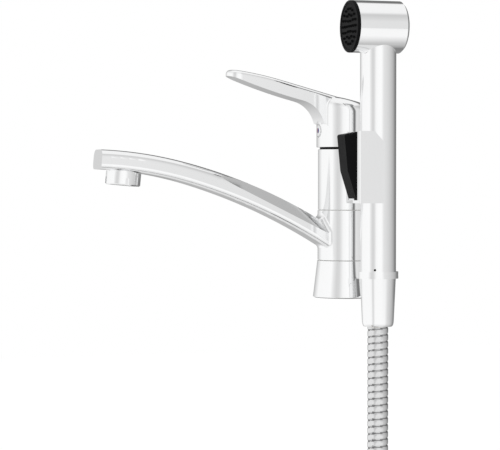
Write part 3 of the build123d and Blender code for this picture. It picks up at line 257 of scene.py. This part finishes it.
def finish_of(
    name, tint, metallic, roughness, spread, grain_scale, relief, tint_spread=0.05, coat=0.0, sheen=0.5
):
    """A Principled material whose colour, gloss and relief vary a little over the surface."""
    material = bpy.data.materials.new(name)
    material.use_nodes = True
    nodes, link = material.node_tree.nodes, material.node_tree.links.new
    shader = nodes["Principled BSDF"]
    surface = nodes.new("ShaderNodeGroup")
    surface.node_tree = surface_group()
    surface.inputs["Scale"].default_value = grain_scale
    surface.inputs["Roughness"].default_value = roughness
    surface.inputs["Spread"].default_value = spread
    surface.inputs["Tint"].default_value = tint_spread
    surface.inputs["Colour"].default_value = (*tint, 1)
    bump = nodes.new("ShaderNodeBump")
    bump.inputs["Strength"].default_value = relief
    bump.inputs["Distance"].default_value = GRAIN_DEPTH
    shader.inputs["Metallic"].default_value = metallic
    shader.inputs["Specular IOR Level"].default_value = sheen
    shader.inputs["Coat Weight"].default_value = coat
    link(surface.outputs["Colour"], shader.inputs["Base Color"])
    link(surface.outputs["Roughness"], shader.inputs["Roughness"])
    link(surface.outputs["Height"], bump.inputs["Height"])
    link(bump.outputs["Normal"], shader.inputs["Normal"])
    return material


def plated_mark(plating, cold, hot):
    """The mark's plug: plated, with a ring line and a dot that is half cold and half hot."""
    material = finish_of("Marked plating", plating, 1.0, 0.06, 0.03, 50, 0.02)
    nodes, link = material.node_tree.nodes, material.node_tree.links.new
    shader = nodes["Principled BSDF"]
    base = shader.inputs["Base Color"].links[0].from_socket
    place = nodes.new("ShaderNodeTexCoord")
    centred = nodes.new("ShaderNodeMapping")
    centred.inputs["Location"].default_value = -mark_centre
    parts = nodes.new("ShaderNodeSeparateXYZ")
    link(place.outputs["Object"], centred.inputs["Vector"])
    link(centred.outputs["Vector"], parts.inputs["Vector"])
    flat = nodes.new("ShaderNodeCombineXYZ")
    link(parts.outputs["Y"], flat.inputs["Y"])
    link(parts.outputs["Z"], flat.inputs["Z"])
    reach = nodes.new("ShaderNodeVectorMath")
    reach.operation = "LENGTH"
    link(flat.outputs["Vector"], reach.inputs[0])

    def below(socket, limit):
        test = nodes.new("ShaderNodeMath")
        test.operation = "LESS_THAN"
        test.inputs[1].default_value = limit
        link(socket, test.inputs[0])
        return test.outputs[0]

    def mixed(factor, first, second):
        mix = nodes.new("ShaderNodeMix")
        mix.data_type = "RGBA"
        link(factor, mix.inputs["Factor"])
        for socket, value in (("A", first), ("B", second)):
            if isinstance(value, tuple):
                mix.inputs[socket].default_value = value
            else:
                link(value, mix.inputs[socket])
        return mix.outputs["Result"]

    in_dot = below(reach.outputs["Value"], MARK_DOT_RADIUS)
    dot = mixed(below(parts.outputs["Y"], MARK_COLD_EDGE), (*hot, 1), (*cold, 1))
    within_line = below(reach.outputs["Value"], MARK_LINE_INSIDE)
    within_plug = below(reach.outputs["Value"], MARK_LINE_OUTSIDE)
    lined = mixed(within_plug, base, (0.12, 0.12, 0.13, 1))
    plain = mixed(within_line, lined, base)
    link(mixed(in_dot, plain, dot), shader.inputs["Base Color"])
    invert = nodes.new("ShaderNodeMath")
    invert.operation = "SUBTRACT"
    invert.inputs[0].default_value = 1
    link(in_dot, invert.inputs[1])
    link(invert.outputs[0], shader.inputs["Metallic"])
    return material


class TAP_OT_finishes(Operator):
    """Give every piece of the tap its plating, plastic, rubber or bare metal."""

    bl_idname = "tap.finishes"
    bl_label = "Finishes"

    def execute(self, context):
        tints, *_ = settings()
        plating = finish_of("Chrome plating", tints.plating, 1.0, 0.045, 0.03, 40, 0.015)
        turned = finish_of("Turned brass", tints.brass, 1.0, 0.22, 0.1, 80, 0.2)
        steel = finish_of("Plain steel", tints.steel, 1.0, 0.3, 0.1, 90, 0.25)
        black = finish_of(
            "Moulded black plastic", tints.black, 0.0, 0.4, 0.12, 120, 0.35, 0.3, sheen=0.05
        )
        rubber = finish_of("Moulded rubber", tints.rubber, 0.0, 0.62, 0.15, 100, 0.4, 0.2)
        white = finish_of("Moulded white plastic", tints.white, 0.0, 0.4, 0.1, 90, 0.2, 0.1)
        ceramic = finish_of("Lapped ceramic", tints.ceramic, 0.0, 0.12, 0.06, 90, 0.05, 0.1, coat=0.3)
        winding = finish_of("Hose strip", tints.hose_metal, 1.0, 0.12, 0.05, 140, 0.08, 0.12)
        # Painted shade: this material's dark colour stands in for the shade in the hose's grooves.
        finish_of("Hose groove painted shade", tints.painted_groove_shade, 1.0, 0.35, 0.1, 140, 0.08, 0.12)
        mark = plated_mark(tints.plating, tints.cold, tints.hot)
        by_slot = {
            "chrome": plating,
            "body_chrome": plating,
            "hose_metal": winding,
            "brass": turned,
            "steel": steel,
            "ceramic": ceramic,
            "black_plastic": black,
            "black_ring": black,
            "rubber": rubber,
            "tie": rubber,
            "white_plastic": white,
            "mark": mark,
        }
        for piece in frame["record"]["subparts"]:
            node = frame["nodes"][piece["node"]]
            node.data.materials.clear()
            node.data.materials.append(by_slot[piece["material_slot"]])
        frame["nodes"]["trigger"].visible_glossy = False
        return {"FINISHED"}


# ------------------------------------------------------------------ hose


def hose_route(hose):
    """The hose's own line: straight down, then wound in turns that lie beside each other."""
    start = hose_exit
    wind_top = Vector((start.x, start.y, drop_low.z))
    centre = wind_top - Vector((hose.coil_radius, 0, 0))
    step = tau / hose.points_per_turn
    corner_radius = hose.coil_radius / cos(step / 2)
    last_drop = wind_top + Vector((0, 0, hose.coil_radius * sin(step / 2) / cos(step / 2)))
    points = [start]
    for share in DROP_SHARES:
        points.append(start.lerp(last_drop, share))
    points.append(last_drop)

    def aside(turns):
        last_half = 2 * max(0.0, turns - hose.coil_turns + 0.5)
        return start.y - hose.coil_pitch * turns - hose.coil_end_shift * last_half**2

    for corner in range(round(hose.coil_turns * hose.points_per_turn)):
        angle = -(corner + 0.5) * step
        points.append(
            Vector(
                (
                    centre.x + corner_radius * cos(angle),
                    aside(-angle / tau),
                    centre.z + corner_radius * sin(angle),
                )
            )
        )
    angle = -hose.coil_turns * tau
    turns_end = Vector(
        (
            centre.x + hose.coil_radius * cos(angle),
            aside(hose.coil_turns),
            centre.z + hose.coil_radius * sin(angle),
        )
    )
    run = Vector((0, 0, hose.end_run))
    return points + [turns_end + run * END_RUN_MIDDLE, turns_end + run]


def smooth_line(points):
    """Points read from the NURBS spline that the route's points control."""
    curve = bpy.data.curves.new("hose_line", "CURVE")
    curve.dimensions = "3D"
    curve.resolution_u = 24
    spline = curve.splines.new("NURBS")
    spline.points.add(len(points) - 1)
    for point, place in zip(spline.points, points):
        point.co = (*place, 1)
    spline.order_u = 3
    spline.use_endpoint_u = True
    carrier = bpy.data.objects.new("hose_line", curve)
    bpy.context.scene.collection.objects.link(carrier)
    bpy.context.view_layer.update()
    line = bpy.data.meshes.new_from_object(carrier)
    places = [vertex.co.copy() for vertex in line.vertices]
    bpy.data.objects.remove(carrier)
    bpy.data.meshes.remove(line)
    if (places[0] - points[0]).length > (places[-1] - points[0]).length:
        places.reverse()
    return places


def even_steps(places, step):
    """Points a step apart along the line, its last point included, and the way the line runs at each."""
    even, walked, due = [places[0]], 0.0, step
    for first, second in zip(places, places[1:]):
        run = (second - first).length
        while run > 0 and walked + run >= due:
            even.append(first.lerp(second, (due - walked) / run))
            due += step
        walked += run
    if (places[-1] - even[-1]).length > step * LAST_STEP_SHARE:
        even.append(places[-1])
    last = len(even) - 1
    ways = [(even[min(at + 1, last)] - even[max(at - 1, 0)]).normalized() for at in range(last + 1)]
    ways[0] = Vector((0, 0, -1))
    return even, ways


def rib_height(turn):
    """How far the wound strip stands out at a turn, from 0 in the groove to 1 on the rib."""
    share = turn % 1.0
    near_groove = min(share, 1 - share)
    return min(1.0, near_groove / GROOVE_HALF_WIDTH) ** RIB_ROUNDNESS


class TAP_OT_hose(Operator):
    """Wind the spray's metal hose, rib by rib, along its whole length."""

    bl_idname = "tap.hose"
    bl_label = "Hose"

    def execute(self, context):
        _, hose, *_ = settings()
        line = smooth_line(hose_route(hose))
        step = hose.rib_pitch / hose.rings_per_pitch
        places, ways = even_steps(line, step)
        tube = bmesh.new()
        made = bmesh.ops.create_circle(tube, segments=hose.sides, radius=hose.diameter / 2)
        around = list(made["verts"])
        around.sort(key=lambda vertex: atan2(vertex.co.y, vertex.co.x))
        edges = [tube.edges.get((around[index], around[index - 1])) for index in range(hose.sides)]
        first_edges = list(edges)
        heights = {}
        for ring, (place, way) in enumerate(zip(places, ways)):
            if ring:
                grown = bmesh.ops.extrude_edge_only(tube, edges=edges)["geom"]
                fresh = {item for item in grown if isinstance(item, bmesh.types.BMVert)}
                edges = [item for item in grown if isinstance(item, bmesh.types.BMEdge)]
                partner = {}
                for old in around:
                    for edge in old.link_edges:
                        other = edge.other_vert(old)
                        if other in fresh:
                            partner[old] = other
                around = [partner[old] for old in around]
            side = way.cross(Vector((0, 1, 0))).normalized()
            other_side = way.cross(side)
            for index, vertex in enumerate(around):
                share = index / hose.sides
                rib = rib_height(ring / hose.rings_per_pitch - share)
                heights[vertex] = rib
                radius = hose.diameter / 2 - hose.rib_depth * (1 - rib)
                angle = tau * share
                vertex.co = place + side * (radius * cos(angle)) + other_side * (radius * sin(angle))
        bmesh.ops.holes_fill(tube, edges=first_edges + edges, sides=hose.sides)
        bmesh.ops.recalc_face_normals(tube, faces=tube.faces)
        for face in tube.faces:
            face.smooth = True
            low = sum(heights[vertex] for vertex in face.verts) / len(face.verts)
            # Faces low in the groove take the second material, the painted groove shade.
            face.material_index = int(low < hose.painted_shade_share)
        mesh = bpy.data.meshes.new("spray_hose")
        tube.to_mesh(mesh)
        tube.free()
        piece = bpy.data.objects.new("spray_hose", mesh)
        context.scene.collection.objects.link(piece)
        piece.data.materials.append(bpy.data.materials["Hose strip"])
        piece.data.materials.append(bpy.data.materials["Hose groove painted shade"])
        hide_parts("hose_drop", "hose_coil")
        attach(piece, "tap")
        return {"FINISHED"}


class TAP_OT_strap(Operator):
    """Put the soft strap round the wound turns."""

    bl_idname = "tap.strap"
    bl_label = "Strap"

    def execute(self, context):
        size = tie_high - tie_low
        centre = (tie_low + tie_high) / 2
        end_radius = size.z / 2 - STRAP_PLAY
        reach = size.y / 2 - end_radius
        strap = bmesh.new()
        made = bmesh.ops.create_circle(strap, segments=48, radius=end_radius)
        for vertex in made["verts"]:
            vertex.co.y += reach if vertex.co.y > 0 else -reach
        grown = bmesh.ops.extrude_edge_only(strap, edges=strap.edges[:])["geom"]
        lifted = [item for item in grown if isinstance(item, bmesh.types.BMVert)]
        bmesh.ops.translate(strap, verts=lifted, vec=(0, 0, size.x))
        for vertex in strap.verts:
            across, along, up = vertex.co
            vertex.co = centre + Vector((up - size.x / 2, along, across))
        bmesh.ops.recalc_face_normals(strap, faces=strap.faces)
        for face in strap.faces:
            face.smooth = True
        mesh = bpy.data.meshes.new("strap")
        strap.to_mesh(mesh)
        strap.free()
        piece = bpy.data.objects.new("strap", mesh)
        context.scene.collection.objects.link(piece)
        wall_of = piece.modifiers.new("Wall", "SOLIDIFY")
        wall_of.thickness = STRAP_WALL
        wall_of.offset = -1
        soft_edge = piece.modifiers.new("Soft edge", "BEVEL")
        soft_edge.width = STRAP_EDGE
        soft_edge.segments = 2
        soft_edge.limit_method = "ANGLE"
        piece.data.materials.append(bpy.data.materials["Moulded rubber"])
        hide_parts("hose_tie")
        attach(piece, "tap")
        return {"FINISHED"}


# ------------------------------------------------------------------ spray face


class TAP_OT_nozzles(Operator):
    """Stand the soft nozzles on the spray's black face."""

    bl_idname = "tap.nozzles"
    bl_label = "Nozzles"

    def execute(self, context):
        *_, face, _ = settings()
        centre = (face_low + face_high) / 2
        centre.x = face_low.x
        spots = [(0.0, 0.0)]
        for ring_radius, count in ((face.inner_ring, 6), (face.middle_ring, 12), (face.outer_ring, 18)):
            for index in range(count):
                angle = tau * index / count
                spots.append((ring_radius * cos(angle), ring_radius * sin(angle)))
        field = bmesh.new()
        for across, up in spots:
            made = bmesh.ops.create_cone(
                field,
                cap_ends=True,
                segments=14,
                radius1=face.nozzle_radius,
                radius2=face.nozzle_radius * NOZZLE_TIP_SHARE,
                depth=face.nozzle_height,
            )
            touched = {item for vertex in made["verts"] for item in vertex.link_faces}
            caps = [item for item in touched if len(item.verts) > 4]
            top = max(caps, key=lambda item: item.calc_center_median().z)
            inset = bmesh.ops.inset_individual(
                field, faces=[top], thickness=face.nozzle_radius * NOZZLE_TIP_SHARE - face.bore_radius
            )
            sunk = list(top.verts)
            bmesh.ops.translate(field, verts=sunk, vec=(0, 0, -face.nozzle_height * NOZZLE_BORE_SHARE))
            moved = {vertex for item in caps for vertex in item.verts if item.is_valid}
            moved |= set(made["verts"]) | set(sunk)
            for item in inset["faces"]:
                moved |= set(item.verts)
            for vertex in moved:
                out = vertex.co.z + face.nozzle_height / 2
                in_face = (across + vertex.co.x, up + vertex.co.y)
                vertex.co = centre + Vector((NOZZLE_FOOT_SUNK - out, *in_face))
        bmesh.ops.recalc_face_normals(field, faces=field.faces)
        mesh = bpy.data.meshes.new("spray_nozzles")
        field.to_mesh(mesh)
        field.free()
        piece = bpy.data.objects.new("spray_nozzles", mesh)
        context.scene.collection.objects.link(piece)
        piece.data.materials.append(bpy.data.materials["Moulded black plastic"])
        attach(piece, "tap")
        return {"FINISHED"}


# ------------------------------------------------------------------ studio


def screens_group(studio):
    """The soft grey screens that stand round the tap, by bearing from the lens, open at the top."""
    group = bpy.data.node_groups.new("Screens", "ShaderNodeTree")
    group.interface.new_socket(name="Direction", in_out="INPUT", socket_type="NodeSocketVector")
    group.interface.new_socket(name="Level", in_out="OUTPUT", socket_type="NodeSocketColor")
    nodes, link = group.nodes, group.links.new
    given = nodes.new("NodeGroupInput")
    put = nodes.new("NodeGroupOutput")
    towards = (-sin(studio.azimuth), -cos(studio.azimuth), 0)
    aside = (cos(studio.azimuth), -sin(studio.azimuth), 0)

    def dot(direction):
        product = nodes.new("ShaderNodeVectorMath")
        product.operation = "DOT_PRODUCT"
        product.inputs[1].default_value = direction
        link(given.outputs["Direction"], product.inputs[0])
        return product.outputs["Value"]

    turn = nodes.new("ShaderNodeMath")
    turn.operation = "ARCTAN2"
    link(dot(aside), turn.inputs[0])
    link(dot(towards), turn.inputs[1])
    share = nodes.new("ShaderNodeMath")
    share.operation = "MULTIPLY_ADD"
    share.inputs[1].default_value = 1 / tau
    share.inputs[2].default_value = 0.5
    link(turn.outputs[0], share.inputs[0])
    screens = nodes.new("ShaderNodeValToRGB")
    stops = (
        (-180, 0.35),
        (-160, 0.55),
        (-140, 0.78),
        (-120, 1.0),
        (-60, 1.02),
        (-50, 0.84),
        (-38, 0.7),
        (-28, 0.73),
        (-14, 0.98),
        (0, 1.03),
        (18, 1.03),
        (26, 0.94),
        (34, 0.82),
        (53, 0.75),
        (68, 0.69),
        (86, 0.6),
        (104, 0.48),
        (118, 0.36),
        (131, 0.22),
        (180, 0.2),
    )
    grey_steps(screens.color_ramp, [(bearing / 360 + 0.5, level) for bearing, level in stops])
    link(share.outputs[0], screens.inputs["Fac"])
    parts = nodes.new("ShaderNodeSeparateXYZ")
    link(given.outputs["Direction"], parts.inputs["Vector"])
    over = nodes.new("ShaderNodeMapRange")
    over.inputs["From Min"].default_value = 0.72
    over.inputs["From Max"].default_value = 0.82
    link(parts.outputs["Z"], over.inputs["Value"])
    level = nodes.new("ShaderNodeMix")
    level.data_type = "RGBA"
    level.inputs["B"].default_value = (1, 1, 1, 1)
    link(over.outputs["Result"], level.inputs["Factor"])
    link(screens.outputs["Color"], level.inputs["A"])
    link(level.outputs["Result"], put.inputs["Level"])
    return group


def grey_steps(ramp, steps):
    """Fill a ramp with grey levels at given places."""
    for index, (at, level) in enumerate(steps):
        stop = ramp.elements[index] if index < 2 else ramp.elements.new(at)
        stop.position = at
        stop.color = (level, level, level, 1)


def studio_world(studio, screens):
    """White for the lens, even light on the object, and soft grey screens for what shines."""
    world = bpy.data.worlds.new("Studio")
    bpy.context.scene.world = world
    world.use_nodes = True
    nodes, link = world.node_tree.nodes, world.node_tree.links.new
    nodes.clear()
    out = nodes.new("ShaderNodeOutputWorld")
    place = nodes.new("ShaderNodeTexCoord")
    around = nodes.new("ShaderNodeGroup")
    around.node_tree = screens
    link(place.outputs["Generated"], around.inputs["Direction"])
    parts = nodes.new("ShaderNodeSeparateXYZ")
    link(place.outputs["Generated"], parts.inputs["Vector"])
    rise = nodes.new("ShaderNodeMapRange")
    rise.inputs["From Min"].default_value = -1
    link(parts.outputs["Z"], rise.inputs["Value"])
    heights = nodes.new("ShaderNodeValToRGB")
    levels = ((0.0, 0.6), (0.3, 0.8), (0.42, 1.0), (0.66, 1.0), (0.84, 0.84), (0.92, 0.95), (1.0, 0.97))
    grey_steps(heights.color_ramp, levels)
    link(rise.outputs["Result"], heights.inputs["Fac"])
    seen = nodes.new("ShaderNodeMix")
    seen.data_type = "RGBA"
    seen.blend_type = "MULTIPLY"
    seen.inputs["Factor"].default_value = 1
    link(around.outputs["Level"], seen.inputs["A"])
    link(heights.outputs["Color"], seen.inputs["B"])
    shine = nodes.new("ShaderNodeBackground")
    link(seen.outputs["Result"], shine.inputs["Color"])
    even = nodes.new("ShaderNodeBackground")
    even.inputs["Color"].default_value = (1, 1, 1, 1)
    even.inputs["Strength"].default_value = studio.fill
    white = nodes.new("ShaderNodeBackground")
    white.inputs["Color"].default_value = (1, 1, 1, 1)
    rays = nodes.new("ShaderNodeLightPath")
    glossy = nodes.new("ShaderNodeMixShader")
    link(rays.outputs["Is Glossy Ray"], glossy.inputs["Fac"])
    link(even.outputs[0], glossy.inputs[1])
    link(shine.outputs[0], glossy.inputs[2])
    clear = nodes.new("ShaderNodeMath")
    clear.operation = "MAXIMUM"
    link(rays.outputs["Is Camera Ray"], clear.inputs[0])
    link(rays.outputs["Is Transmission Ray"], clear.inputs[1])
    lens = nodes.new("ShaderNodeMixShader")
    link(clear.outputs[0], lens.inputs["Fac"])
    link(glossy.outputs[0], lens.inputs[1])
    link(white.outputs[0], lens.inputs[2])
    link(lens.outputs[0], out.inputs["Surface"])


def floor_material(screens):
    """A pale floor: white for the lens; for what shines, painted shade near the tap, then white, then as the
    screens.
    """
    material = bpy.data.materials.new("Pale floor")
    material.use_nodes = True
    nodes, link = material.node_tree.nodes, material.node_tree.links.new
    shader = nodes["Principled BSDF"]
    shader.inputs["Base Color"].default_value = (0.8, 0.8, 0.8, 1)
    shader.inputs["Roughness"].default_value = 0.9
    place = nodes.new("ShaderNodeTexCoord")
    around = nodes.new("ShaderNodeGroup")
    around.node_tree = screens
    link(place.outputs["Object"], around.inputs["Direction"])
    away = nodes.new("ShaderNodeVectorMath")
    away.operation = "LENGTH"
    link(place.outputs["Object"], away.inputs[0])
    far = nodes.new("ShaderNodeMapRange")
    far.inputs["From Min"].default_value = 2.0
    far.inputs["From Max"].default_value = 6.0
    link(away.outputs["Value"], far.inputs["Value"])
    # Painted shade: for glossy rays the floor is darker near the tap, standing in for the shade under it.
    under = nodes.new("ShaderNodeMapRange")
    under.inputs["From Min"].default_value = 0.3
    under.inputs["From Max"].default_value = 0.75
    under.inputs["To Min"].default_value = 0.72
    link(away.outputs["Value"], under.inputs["Value"])
    lifted = nodes.new("ShaderNodeValToRGB")
    grey_steps(lifted.color_ramp, ((0.0, 0.0), (0.5, 0.5), (0.7, 0.7), (0.78, 0.97), (1.0, 1.0)))
    link(around.outputs["Level"], lifted.inputs["Fac"])
    shaded_near_tap = nodes.new("ShaderNodeMix")
    shaded_near_tap.data_type = "RGBA"
    shaded_near_tap.blend_type = "MULTIPLY"
    shaded_near_tap.inputs["Factor"].default_value = 1
    link(under.outputs["Result"], shaded_near_tap.inputs["A"])
    link(lifted.outputs["Color"], shaded_near_tap.inputs["B"])
    mirrored = nodes.new("ShaderNodeMix")
    mirrored.data_type = "RGBA"
    link(far.outputs["Result"], mirrored.inputs["Factor"])
    link(shaded_near_tap.outputs["Result"], mirrored.inputs["A"])
    link(around.outputs["Level"], mirrored.inputs["B"])
    rays = nodes.new("ShaderNodeLightPath")
    tint = nodes.new("ShaderNodeMix")
    tint.data_type = "RGBA"
    link(rays.outputs["Is Glossy Ray"], tint.inputs["Factor"])
    tint.inputs["A"].default_value = (1, 1, 1, 1)
    link(mirrored.outputs["Result"], tint.inputs["B"])
    glow = nodes.new("ShaderNodeEmission")
    glow.inputs["Strength"].default_value = 1.05
    link(tint.outputs["Result"], glow.inputs["Color"])
    mix = nodes.new("ShaderNodeMixShader")
    sharp = nodes.new("ShaderNodeMath")
    sharp.operation = "MAXIMUM"
    link(rays.outputs["Is Camera Ray"], sharp.inputs[0])
    link(rays.outputs["Is Glossy Ray"], sharp.inputs[1])
    share = nodes.new("ShaderNodeMath")
    share.operation = "MULTIPLY"
    share.inputs[1].default_value = 0.9
    link(sharp.outputs[0], share.inputs[0])
    link(share.outputs[0], mix.inputs["Fac"])
    link(shader.outputs[0], mix.inputs[1])
    link(glow.outputs[0], mix.inputs[2])
    link(mix.outputs[0], nodes["Material Output"].inputs["Surface"])
    return material


class TAP_OT_studio(Operator):
    """Set up the camera, the white surround, the floor and the soft lamps."""

    bl_idname = "tap.studio"
    bl_label = "Studio"

    def execute(self, context):
        *_, studio = settings()
        scene = context.scene
        scene.view_settings.view_transform = "Standard"
        lens = bpy.data.cameras.new("Camera")
        lens.lens = studio.focal_length
        lens.sensor_width = 36
        lens.clip_start, lens.clip_end = 0.05, 20
        camera = bpy.data.objects.new("Camera", lens)
        scene.collection.objects.link(camera)
        camera.location = studio.eye
        looking = Vector(
            (
                sin(studio.azimuth) * cos(studio.elevation),
                cos(studio.azimuth) * cos(studio.elevation),
                -sin(studio.elevation),
            )
        )
        camera.rotation_euler = looking.to_track_quat("-Z", "Y").to_euler()
        scene.camera = camera
        screens = screens_group(studio)
        studio_world(studio, screens)
        ground = bmesh.new()
        bmesh.ops.create_grid(ground, x_segments=1, y_segments=1, size=3)
        floor_height = cad_box[0].z - studio.floor_gap
        bmesh.ops.translate(ground, verts=ground.verts, vec=(0, 0, floor_height))
        mesh = bpy.data.meshes.new("floor")
        ground.to_mesh(mesh)
        ground.free()
        floor = bpy.data.objects.new("floor", mesh)
        scene.collection.objects.link(floor)
        floor.data.materials.append(floor_material(screens))
        lamps = (
            ("Key", (-1.1, -1.3, 1.3), 1.0, 9),
            ("Side", (1.4, -0.9, 0.8), 1.0, 5),
            ("Back", (0.3, 1.5, 1.2), 1.2, 5),
        )
        for name, place, size, power in lamps:
            light = bpy.data.lights.new(name, "AREA")
            light.size = size
            light.energy = power
            lamp = bpy.data.objects.new(name, light)
            scene.collection.objects.link(lamp)
            lamp.location = place
            towards_tap = Vector((0, 0, 0.05)) - Vector(place)
            lamp.rotation_euler = towards_tap.to_track_quat("-Z", "Y").to_euler()
            lamp.visible_glossy = False
        return {"FINISHED"}


# ------------------------------------------------------------------ panel and run


class TAP_PT_panel(Panel):
    """Lists the tap's operators."""

    bl_idname = "TAP_PT_panel"
    bl_label = "Side spray tap"
    bl_space_type = "VIEW_3D"
    bl_region_type = "UI"
    bl_category = "Tap"

    def draw(self, context):
        for operator in operators:
            self.layout.operator(operator.bl_idname)


operators = (TAP_OT_studio, TAP_OT_finishes, TAP_OT_strap, TAP_OT_hose, TAP_OT_nozzles)
groups = {
    "tap_finishes": TapFinishes,
    "tap_hose": TapHose,
    "tap_spray_face": TapSprayFace,
    "tap_studio": TapStudio,
}


def register():
    """Registers the settings, the operators and the panel."""
    for item in (*groups.values(), *operators, TAP_PT_panel):
        bpy.utils.register_class(item)
    for name, group in groups.items():
        setattr(bpy.types.Scene, name, PointerProperty(type=group))


def unregister():
    """Takes them away again."""
    for name in groups:
        delattr(bpy.types.Scene, name)
    for item in (TAP_PT_panel, *reversed(operators), *groups.values()):
        bpy.utils.unregister_class(item)


def main():
    """Dresses the tap from first to last."""
    register()
    bpy.ops.tap.studio()
    bpy.ops.tap.finishes()
    bpy.ops.tap.strap()
    bpy.ops.tap.hose()
    bpy.ops.tap.nozzles()


if __name__ == "__main__":
    main()
